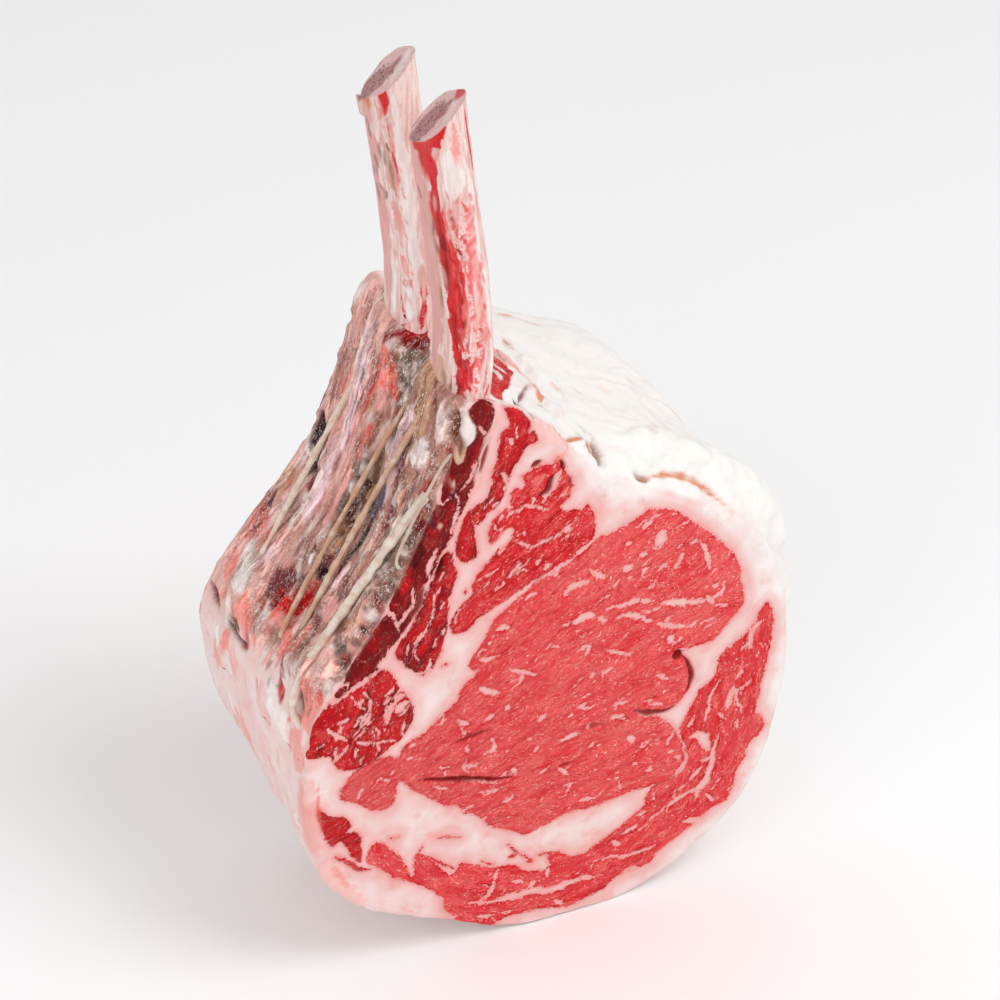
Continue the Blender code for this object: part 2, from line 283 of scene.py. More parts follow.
class Skin:
    """The roast's whole skin: the two cuts as triangles and the edge as rows between them."""

    def __init__(self):
        self.make_loop()
        front, self.front_triangles = self.cut_face(FACE_STEP)
        back, self.back_triangles = self.cut_face(BACK_STEP)
        depths = self.row_depths()
        rows = [side_points(self.angles, y) for y in depths[1:-1]]
        self.flat = np.vstack([front, back] + [self.rim] * len(rows))
        self.base = np.vstack([carried(front, FRONT), carried(back, BACK)] + rows)
        self.kind = np.repeat([0, 2, 1], [len(front), len(back), len(rows) * len(self.rim)])
        self.around = np.interp(section_angle(self.flat) % 360, *self.length_by_angle)
        self.depth = self.base[:, 1].copy()
        self.back_start = len(front)
        self.side_start = len(front) + len(back)
        self.row_count = len(depths)
        self.back_triangles = self.back_triangles[:, ::-1] + self.back_start

    def make_loop(self):
        """The edge of the front cut, finer along the bone side, meeting the rib meat's outline."""
        outline = smooth_through(OUTLINE, 40, closed=True)
        outline = np.vstack([outline, outline[:1]])
        lengths = lengths_along(outline)
        self.total = lengths[-1]
        marks, at = [], 0.0
        while at < self.total - 0.4 * LOOP_STEP:
            marks.append(at)
            at += BONE_SIDE_STEP if at > BONE_SIDE_START or at < BONE_SIDE_TOP else LOOP_STEP
        self.angles = section_angle(at_lengths(outline, marks))
        order = np.argsort(section_angle(outline) % 360)
        self.length_by_angle = (section_angle(outline)[order] % 360, lengths[order])
        self.rim = self.rim_at(self.angles)
        self.rib_edge, self.rib_ends = self.clip_rib_meat()

    def rim_at(self, angles):
        radius = front_radius(angles) - RIM
        turn = np.radians(angles)
        return np.stack([radius * np.cos(turn), AXIS_Z + radius * np.sin(turn)], axis=1)

    def clip_rib_meat(self):
        """The part of the rib meat's outline within the rim, and the rim points that it joins."""
        curve = even_spacing(smooth_through(RIB_MEAT, 16, closed=True), MUSCLE_STEP, closed=True)
        radius = np.hypot(curve[:, 0], curve[:, 1] - AXIS_Z)
        within = radius < front_radius(section_angle(curve)) - RIM
        start = np.flatnonzero(within & ~np.roll(within, 1))[0]
        curve, within = np.roll(curve, -start, axis=0), np.roll(within, -start)
        run = curve[:np.flatnonzero(~within)[0]]
        ends = []
        for point in (run[0], run[-1]):
            off = (self.angles - section_angle(point[None])[0] + 180) % 360 - 180
            ends.append(int(np.argmin(np.abs(off))))
        gap_start = np.linalg.norm(run - self.rim[ends[0]], axis=1)
        gap_end = np.linalg.norm(run - self.rim[ends[1]], axis=1)
        keep = (gap_start > 0.7 * MUSCLE_STEP) & (gap_end > 0.7 * MUSCLE_STEP)
        return run[keep], ends

    def cut_face(self, step):
        """Triangles over the front drawing, with edges along the rim and the muscles."""
        eye = even_spacing(smooth_through(EYE_MUSCLE, 10, closed=True), MUSCLE_STEP, closed=True)
        cap = even_spacing(smooth_through(CAP_MUSCLE, 10, closed=True), MUSCLE_STEP, closed=True)
        fixed = np.vstack([self.rim, eye, cap, self.rib_edge])
        edges, start = [], 0
        for loop in (self.rim, eye, cap):
            count = len(loop)
            edges += [(start + i, start + (i + 1) % count) for i in range(count)]
            start += count
        route = [self.rib_ends[0], *range(start, start + len(self.rib_edge)), self.rib_ends[1]]
        edges += list(zip(route, route[1:]))
        self.loops = {
            "eye_muscle": list(range(len(self.rim), len(self.rim) + len(eye))),
            "cap_muscle": list(range(len(self.rim) + len(eye), start)),
            "rib_meat": route,
        }
        points = np.vstack([fixed, self.grid_within(step, fixed)])
        result = delaunay_2d_cdt([Vector(p) for p in points], edges, [], 0, 1e-5)
        order = [origins[0] for origins in result[3]]
        triangles = np.array([[order[i] for i in face] for face in result[2]])
        middles = points[triangles].mean(axis=1)
        triangles = triangles[inside(middles, self.rim)]
        a, b, c = points[triangles].transpose(1, 0, 2)
        area = (b - a)[:, 0] * (c - a)[:, 1] - (b - a)[:, 1] * (c - a)[:, 0]
        triangles[area < 0] = triangles[area < 0][:, ::-1]
        return points, triangles

    def grid_within(self, step, fixed):
        """A grid of even triangles inside the rim that keeps clear of the fixed points."""
        low, high = self.rim.min(axis=0), self.rim.max(axis=0)
        rise = step * math.sqrt(3) / 2
        across = np.arange(low[0], high[0], step)
        grid = np.vstack([np.stack([across + step / 2 * (i % 2), np.full(len(across), z)], axis=1)
                          for i, z in enumerate(np.arange(low[1], high[1], rise))])
        radius = np.hypot(grid[:, 0], grid[:, 1] - AXIS_Z)
        grid = grid[radius < front_radius(section_angle(grid)) - RIM - 0.5 * step]
        tree = KDTree(len(fixed))
        for i, (x, z) in enumerate(fixed):
            tree.insert((x, z, 0.0), i)
        tree.balance()
        clear = [tree.find((x, z, 0.0))[2] > 0.62 * step for x, z in grid]
        return grid[np.array(clear)]

    def row_depths(self):
        turn = np.linspace(0.0, math.pi / 2, RIM_ROWS + 1)
        rim = RIM * (1 - np.cos(turn))
        middle = np.linspace(FRONT + RIM, BACK - RIM, int((BACK - FRONT - 2 * RIM) / ROW_STEP) + 1)
        return np.r_[FRONT + rim[:-1], middle, BACK - rim[:-1][::-1]]

    def row(self, j):
        """Vertex numbers of row j; the first and last rows belong to the two cuts."""
        count = len(self.rim)
        if j == 0:
            return np.arange(count)
        if j == self.row_count - 1:
            return self.back_start + np.arange(count)
        return self.side_start + (j - 1) * count + np.arange(count)

    def side_quads(self, columns):
        """Quads between neighbouring rows over the given columns."""
        quads = []
        for j in range(self.row_count - 1):
            near, far = self.row(j), self.row(j + 1)
            here, beside = near[columns], near[(columns + 1) % len(near)]
            behind, behind_beside = far[columns], far[(columns + 1) % len(near)]
            quads.append(np.stack([here, beside, behind_beside, behind], axis=1))
        return np.vstack(quads)


# ---- what shows on the front cut ----------------------------------------------------------
# Every lean part: how dark its red is (0 coral, 1 crimson), then its outline.
LEAN_PARTS = {
    "eye": (0.10, [
        (-83, 94), (-80, 97), (-75, 99), (-69, 100), (-62, 98), (-60, 102), (-52, 106), (-45, 111),
        (-38, 117), (-36, 122), (-31, 127), (-33, 131), (-30, 137), (-23, 148), (-15, 154),
        (-5, 161), (3, 164), (13, 169), (18, 173), (28, 174), (36, 178), (41, 180), (52, 176),
        (57, 171), (66, 163), (73, 156), (80, 145), (80, 139), (83, 129), (81, 124), (70, 113),
        (57, 111), (60, 105), (61, 94), (55, 87), (51, 85), (45, 86), (37, 89), (40, 86), (47, 83),
        (54, 77), (58, 66), (59, 60), (52, 52), (35, 51), (20, 49), (7, 49), (-5, 46), (-11, 45),
        (-14, 48), (-24, 53), (-30, 61), (-36, 64), (-37, 67), (-44, 70), (-53, 78), (-58, 83),
        (-62, 87), (-66, 76), (-74, 77), (-79, 82), (-86, 86), (-85, 91),
    ]),
    "cap": (0.24, [
        (93, 124), (95, 119), (96, 110), (94, 95), (92, 86), (90, 75), (93, 70), (94, 64), (87, 57),
        (86, 52), (83, 47), (82, 41), (78, 34), (71, 31), (64, 26), (49, 18), (45, 14), (39, 13),
        (32, 12), (23, 7), (9, 3), (0, 6), (-20, 7), (-26, 5), (-35, 11), (-44, 18), (-45, 25),
        (-52, 33), (-65, 42), (-74, 51), (-76, 56), (-72, 62), (-64, 54), (-59, 43), (-57, 40),
        (-56, 50), (-51, 47), (-42, 36), (-38, 40), (-34, 39), (-25, 34), (-13, 31), (-11, 28),
        (0, 25), (-1, 33), (5, 31), (14, 27), (20, 30), (30, 35), (34, 38), (41, 42), (43, 48),
        (50, 52), (58, 54), (60, 62), (57, 75), (62, 85), (66, 92), (71, 96), (74, 105), (83, 111),
        (87, 116),
    ]),
    "upper": (0.42, [
        (-12, 208), (-4, 210), (0, 210), (3, 213), (6, 205), (9, 200), (8, 196), (4, 190), (10, 188),
        (13, 187), (15, 189), (18, 184), (18, 175), (13, 169), (3, 165), (-10, 160), (-20, 155),
        (-29, 151), (-34, 147), (-39, 147), (-41, 151), (-36, 159), (-32, 163), (-30, 170),
        (-22, 178), (-18, 180), (-15, 183), (-15, 187), (-19, 186), (-23, 182), (-25, 185),
        (-25, 190), (-19, 195), (-15, 195), (-17, 198), (-15, 204), (-12, 202), (-11, 206),
    ]),
    "upper strip": (0.60, [
        (-19, 239), (-15, 237), (-11, 233), (-8, 227), (-6, 222), (-10, 220), (-14, 213), (-16, 210),
        (-18, 206), (-19, 202), (-21, 198), (-25, 196), (-30, 192), (-32, 199), (-26, 202),
        (-24, 207), (-23, 214), (-21, 221), (-20, 228), (-17, 231),
    ]),
    "lower strip": (0.66, [
        (-32, 199), (-31, 194), (-30, 184), (-30, 178), (-35, 177), (-38, 180), (-38, 187),
        (-37, 191), (-34, 197),
    ]),
    "long strip": (0.74, [
        (-41, 183), (-39, 177), (-37, 172), (-41, 164), (-42, 152), (-44, 142), (-49, 133),
        (-53, 133), (-61, 141), (-62, 147), (-57, 153), (-53, 161), (-50, 168), (-46, 175),
    ]),
    "side": (1.00, [
        (-23, 239), (-24, 231), (-25, 225), (-28, 215), (-32, 207), (-35, 200), (-41, 188),
        (-46, 177), (-50, 170), (-54, 160), (-61, 151), (-66, 146), (-70, 142), (-70, 140),
        (-76, 137), (-86, 131), (-89, 128), (-104, 136), (-84, 176), (-54, 232), (-38, 252),
        (-26, 244),
    ]),
    "left": (0.66, [
        (-67, 139), (-64, 136), (-61, 129), (-57, 122), (-56, 114), (-60, 107), (-69, 101),
        (-80, 98), (-87, 101), (-90, 107), (-97, 108), (-98, 117), (-96, 123), (-87, 129),
        (-76, 135), (-70, 139),
    ]),
    "lower left": (0.50, [
        (-96, 84), (-91, 80), (-86, 78), (-82, 73), (-84, 70), (-79, 67), (-78, 55), (-81, 56),
        (-86, 66), (-88, 65), (-91, 65), (-94, 73),
    ]),
}
FAT_VEINS = [
    # width, then the route: the seams first
    (1.2, [(-1, 162), (7, 166), (14, 170), (19, 174)]),
    (1.7, [(-41, 187), (-46, 177), (-52, 166), (-56, 156), (-62, 149)]),
    (3.0, [(-34, 20), (-26, 17), (-15, 16), (-7, 17), (1, 14), (10, 15), (24, 14)]),
    (2.8, [(74, 68), (72, 60), (71, 52), (67, 44), (60, 42), (51, 38)]),
    (4.4, [(61, 69), (66, 69), (70, 60)]),
    (1.6, [(74, 95), (70, 87), (69, 80), (66, 71)]),
    (2.6, [(92, 116), (87, 113), (86, 107), (81, 104)]),
    # the upper muscle and the strips
    (1.3, [(-15, 181), (-9, 177), (1, 178), (11, 184)]), (3.0, [(4, 207), (1, 201), (-3, 197)]),
    (1.2, [(-11, 195), (-6, 193), (-1, 191)]), (0.9, [(-23, 190), (-21, 187), (-18, 189)]),
    (1.0, [(-30, 168), (-25, 169), (-21, 171)]), (2.0, [(-20, 212), (-18, 208), (-19, 204)]),
    (1.0, [(-15, 230), (-14, 224)]), (1.0, [(-18, 226), (-16, 222)]),
    (1.3, [(-44, 169), (-47, 165), (-48, 156), (-54, 147), (-55, 142), (-53, 137)]),
    (0.8, [(-42, 177), (-45, 171)]), (0.9, [(-46, 147), (-49, 141)]), (1.1, [(-57, 148), (-58, 142)]),
    # the crimson side
    (1.4, [(-30, 219), (-32, 213), (-36, 208)]), (1.2, [(-29, 233), (-26, 229)]),
    (1.1, [(-25, 226), (-28, 219), (-30, 211)]),
    (1.6, [(-38, 208), (-37, 204), (-38, 199), (-40, 191)]),
    (1.0, [(-41, 206), (-45, 203)]), (1.6, [(-46, 186), (-49, 179), (-49, 173)]),
    (1.5, [(-55, 171), (-56, 164), (-62, 157)]), (1.2, [(-63, 166), (-63, 161), (-61, 154)]),
    # the left muscle
    (1.3, [(-66, 128), (-65, 122), (-67, 115), (-68, 111)]), (1.0, [(-65, 122), (-60, 126)]),
    (3.2, [(-63, 119), (-60, 121), (-58, 121)]),
    (1.3, [(-75, 131), (-73, 126), (-74, 120), (-77, 117), (-80, 112)]),
    (1.0, [(-80, 131), (-77, 126), (-75, 123)]), (2.4, [(-86, 121), (-82, 122)]),
    (1.4, [(-90, 119), (-87, 115), (-82, 111)]), (1.3, [(-82, 110), (-84, 107), (-88, 104)]),
    (1.2, [(-75, 117), (-76, 113), (-79, 111), (-77, 109), (-71, 107), (-64, 106)]),
    (1.3, [(-77, 103), (-78, 100)]), (0.9, [(-95, 112), (-91, 113)]),
    # the eye, from its left end to the right
    (1.4, [(-79, 83), (-77, 88)]), (1.6, [(-72, 87), (-70, 90), (-66, 88)]),
    (1.6, [(-59, 96), (-56, 96)]),
    (1.0, [(-45, 88), (-41, 87)]), (1.2, [(-37, 86), (-31, 84)]), (1.0, [(-49, 80), (-42, 77)]),
    (1.3, [(-37, 79), (-31, 77), (-21, 73)]), (1.0, [(-31, 71), (-21, 70)]),
    (1.8, [(-20, 63), (-14, 64)]),
    (1.5, [(-24, 95), (-23, 90), (-26, 87)]), (2.4, [(-39, 108), (-33, 104)]),
    (3.0, [(-29, 120), (-25, 117), (-21, 115)]), (2.0, [(-29, 132), (-21, 132)]),
    (2.4, [(-22, 144), (-17, 144)]),
    (2.0, [(-18, 108), (-17, 106)]), (2.0, [(-5, 97), (-1, 99)]),
    (2.0, [(-16, 124), (-12, 122), (-5, 119)]),
    (2.8, [(6, 151), (9, 154), (17, 155)]), (2.6, [(17, 160), (22, 155)]),
    (4.0, [(31, 156), (33, 156)]),
    (2.4, [(31, 167), (34, 167)]), (4.4, [(44, 163), (46, 166), (47, 169)]),
    (2.6, [(38, 173), (42, 174)]),
    (2.2, [(51, 150), (56, 156)]), (1.6, [(57, 161), (63, 160)]),
    (1.8, [(63, 159), (66, 152), (67, 146)]),
    (1.5, [(23, 140), (36, 140), (44, 138)]), (3.2, [(47, 136), (52, 135), (66, 132)]),
    (2.2, [(66, 134), (70, 130)]), (1.2, [(70, 129), (76, 127)]),
    (1.4, [(68, 133), (73, 134), (74, 138)]),
    (3.6, [(9, 138), (13, 139), (19, 139)]), (2.0, [(20, 138), (23, 134)]),
    (2.2, [(26, 134), (32, 135), (44, 129)]), (1.9, [(46, 127), (52, 124), (58, 122)]),
    (1.8, [(37, 161), (40, 160)]), (0.8, [(50, 168), (57, 170)]), (1.2, [(35, 173), (39, 176)]),
    (1.2, [(40, 175), (46, 177)]), (3.4, [(52, 120), (51, 117)]), (1.6, [(52, 113), (61, 111)]),
    (1.9, [(45, 104), (51, 100)]), (2.0, [(17, 126), (15, 122)]), (1.5, [(10, 108), (14, 112)]),
    (1.3, [(12, 98), (16, 99)]), (0.9, [(28, 93), (31, 97), (34, 99)]), (1.4, [(24, 121), (36, 116)]),
    (2.2, [(26, 89), (31, 88), (33, 86)]), (2.6, [(34, 78), (36, 75)]), (1.8, [(42, 92), (44, 92)]),
    (1.7, [(4, 85), (13, 86)]), (1.6, [(4, 73), (9, 67)]), (1.6, [(36, 64), (38, 64)]),
    (2.4, [(42, 59), (45, 59)]), (1.8, [(52, 65), (55, 65)]), (1.0, [(30, 58), (31, 53)]),
    # the cap, from its top round to the left
    (1.2, [(85, 97), (81, 91)]), (2.4, [(80, 88), (77, 77)]),
    (1.2, [(89, 90), (84, 86), (81, 85), (84, 74)]),
    (1.2, [(63, 78), (60, 74)]), (1.4, [(68, 58), (66, 53), (57, 44)]), (1.8, [(73, 77), (75, 74)]),
    (1.6, [(81, 70), (83, 68)]), (2.2, [(65, 39), (66, 43)]), (2.2, [(59, 29), (70, 27)]),
    (1.0, [(45, 50), (46, 44)]), (1.2, [(42, 34), (53, 39)]), (1.6, [(31, 31), (40, 34)]),
    (1.2, [(69, 40), (73, 35)]), (1.8, [(-22, 31), (-23, 26), (-26, 21), (-30, 19)]),
    (2.4, [(0, 25), (0, 21)]), (2.0, [(-9, 18), (-5, 21)]), (1.0, [(-16, 24), (-11, 22)]),
    (1.3, [(-31, 12), (-21, 9)]), (2.2, [(3, 8), (7, 5)]), (2.4, [(28, 29), (31, 27)]),
    (1.1, [(22, 22), (38, 20), (49, 21)]), (1.6, [(39, 38), (43, 39)]), (1.6, [(32, 13), (39, 13)]),
]
LEAN_STREAKS = [
    # thin lean lines in the fat: width, then the route
    (1.3, [(-17, 42), (-13, 37), (-6, 31)]), (1.6, [(-17, 36), (-13, 36)]), (2.6, [(-9, 32), (-7, 31)]),
    (0.9, [(-5, 33), (0, 33)]), (1.2, [(-29, 38), (-23, 35)]), (1.3, [(-55, 50), (-46, 43), (-40, 38)]),
    (0.8, [(-55, 50), (-53, 53)]), (0.8, [(-47, 55), (-37, 53)]), (0.8, [(-67, 62), (-63, 61)]),
    (2.4, [(-89, 60), (-85, 57), (-80, 52), (-75, 49)]), (1.4, [(-35, 164), (-34, 165)]),
    (0.7, [(-45, 134), (-41, 134)]),
]
GROOVES = [
    # width, depth, then the route
    (1.8, 0.9, [(-55, 85), (-48, 83), (-38, 80), (-25, 76), (-14, 74)]),
    (1.6, 0.6, [(-40, 97), (-32, 99), (-24, 99)]), (3.6, 1.4, [(54, 110), (55, 110)]),
    (2.0, 0.9, [(57, 109), (60, 104), (61, 96), (58, 91)]),
    (1.8, 0.9, [(36, 89), (44, 86), (51, 85), (55, 87)]),
    (2.0, 0.5, [(14, 88), (24, 87)]), (1.6, 0.6, [(5, 73), (10, 73)]),
    (2.2, 1.0, [(1, 205), (-1, 200), (-5, 197)]), (2.0, 1.0, [(-8, 210), (-4, 212)]),
    (1.6, 0.9, [(4, 211), (5, 206)]), (1.0, 0.5, [(4, 190), (-3, 183)]),
    (1.6, 0.8, [(-25, 225), (-29, 213)]),
    (1.6, 0.9, [(-41, 183), (-44, 178), (-47, 173)]), (1.6, 0.9, [(-50, 171), (-53, 164), (-56, 157)]),
    (1.6, 0.9, [(-50, 188), (-55, 178)]), (1.4, 0.7, [(-63, 168), (-67, 157)]),
]
CUT_MARKS = [
    # colour, strength, width, lift, route: stains and torn bits on the cuts
    ("pink", 0.9, 4.2, 0.3, [(-22, 238), (-24, 229), (-27, 219), (-31, 206)]),
    ("rose", 0.6, 1.4, 0.0, [(-22, 234), (-25, 224), (-29, 212)]),
    ("tan", 1.0, 7.5, 0.3, [(-36, 238), (-36, 229), (-36, 220)]),
    ("bone white", 1.0, 4, 0.9, [(-33, 237), (-32, 232), (-35, 227)]),
    ("brown", 1.0, 3.6, -1.4, [(-37, 236), (-37, 229), (-36, 223)]),
    ("grey brown", 0.9, 2.4, 0.4, [(-40, 222), (-42, 217), (-47, 209)]),
    ("pink", 0.8, 9, 0.4, [(-7, 229), (-2, 224), (5, 219), (9, 218)]),
    ("hot red", 0.6, 2.6, 0.1, [(-4, 229), (-2, 226)]),
    ("salmon", 0.8, 4.4, 0.4, [(1, 221), (6, 221), (9, 220)]),
    ("salmon", 0.8, 3.4, 0.3, [(8, 216), (4, 213), (0, 211)]),
    ("orange", 0.9, 1.6, -0.8, [(-9, 233), (-4, 232), (0, 228), (4, 223)]),
    ("orange", 0.9, 1.8, -0.9, [(10, 219), (16, 217), (20, 213)]),
    ("red", 0.5, 5, 0.0, [(-18, 235), (-13, 235)]), ("salmon", 0.6, 3, 0.0, [(-1, 206), (-8, 203)]),
    ("hot red", 0.6, 3, 0.0, [(4, 204), (7, 200), (5, 195)]),
    ("purple", 0.7, 1.2, -0.4, [(8, 203), (8, 198)]),
    ("salmon", 0.6, 8, 0.2, [(-97, 100), (-99, 84), (-95, 66)]),
    ("hot red", 0.8, 1.8, -0.3, [(-94, 96), (-95, 84), (-93, 74)]),
    ("pink", 0.8, 7, 0.2, [(-93, 60), (-86, 44), (-76, 32)]),
    ("salmon", 0.8, 3, 0.0, [(-90, 56), (-84, 44)]),
    ("salmon", 0.6, 4, 0.0, [(-72, 26), (-58, 18), (-44, 10)]),
    ("hot red", 0.5, 2, -0.2, [(-66, 28), (-54, 20)]),
    ("salmon", 0.6, 4, 0.0, [(-54, 57), (-44, 56)]), ("salmon", 0.5, 3, 0.0, [(-60, 112), (-54, 108)]),
    ("salmon", 0.4, 6, 0.0, [(16, 180), (26, 182), (34, 185)]),
    ("salmon", 0.35, 7, 0.0, [(60, 178), (76, 166), (86, 150)]),
]
# Crumbs along the edge where the bone side meets the cuts: from, to, how many, their colours
CRUMBLED_EDGE = [
    ((-40, 216), (-92, 133), 70, ("bone white", "grey brown", "tan", "rose", "membrane")),
    ((-40, 216), (-92, 133), 24, ("purple", "dark", "dark blood")),
]
# Small random veins along the fibres: how many, the part, the box that they are drawn in
SMALL_VEINS = [(80, "eye", (-70, 75), (55, 165)), (26, "upper", (-30, 10), (150, 200)),
               (44, "cap", (-60, 90), (8, 110)), (26, "left", (-95, -58), (100, 136))]
FAN_CENTRE = (-170.0, 40.0)          # the eye's fibres fan out from here
CAP_CENTRE = (0.0, 100.0)            # the cap's fibres run round this point
SIDE_GRAIN = math.radians(61.0)
EDGE_WANDER = 0.55
STREAKED = (12.0, 3.2, 3.6)          # lumps of noise drawn out along the fibres
EVEN = (7, 7, 7)                     # and the same all ways
BACK_SHIFT = (37.0, 0.0, 0.0)        # the far cut takes its noise from elsewhere


# ---- what shows round the edge ------------------------------------------------------------
# Places on the edge are (around, y): `around` is the length along the front cut's outline, 0 at
# its top beside the ribs, growing over the fat cap and negative down the bone side.
COLOURS = {
    "cream": (226, 198, 189), "white": (243, 236, 232), "lilac": (248, 222, 228),
    "salmon": (240, 154, 144), "pink": (240, 188, 182), "tan": (214, 172, 148),
    "brown": (142, 92, 66), "grey brown": (150, 130, 116), "purple grey": (136, 124, 134),
    "purple": (76, 20, 42), "crimson": (168, 10, 28), "red": (214, 34, 44), "hot red": (228, 88, 80),
    "maroon": (144, 76, 80), "orange": (216, 134, 92), "dark": (56, 26, 26),
    # the mould grey on the next line is both real mould and painted shade in the hollow between the
    # strands
    "mould and shade": (112, 102, 92), "peach": (244, 214, 202), "rose": (224, 176, 166),
    "membrane": (188, 144, 132), "pale membrane": (246, 206, 198), "bone strip": (216, 178, 148),
    "fat shadow": (228, 214, 208),
    # the greyer pink bone on the next line is partly the ribs' own colour and partly painted shade:
    # their left sides turned from the light, and the front rib's shadow on the back rib
    "bone": (240, 214, 208), "bone white": (242, 228, 224), "bone grey": (230, 166, 162),
    "marrow": (166, 98, 102), "cut bone": (232, 190, 186), "blood": (216, 4, 14),
    "dark blood": (146, 0, 8), "speckle": (236, 112, 112),
}
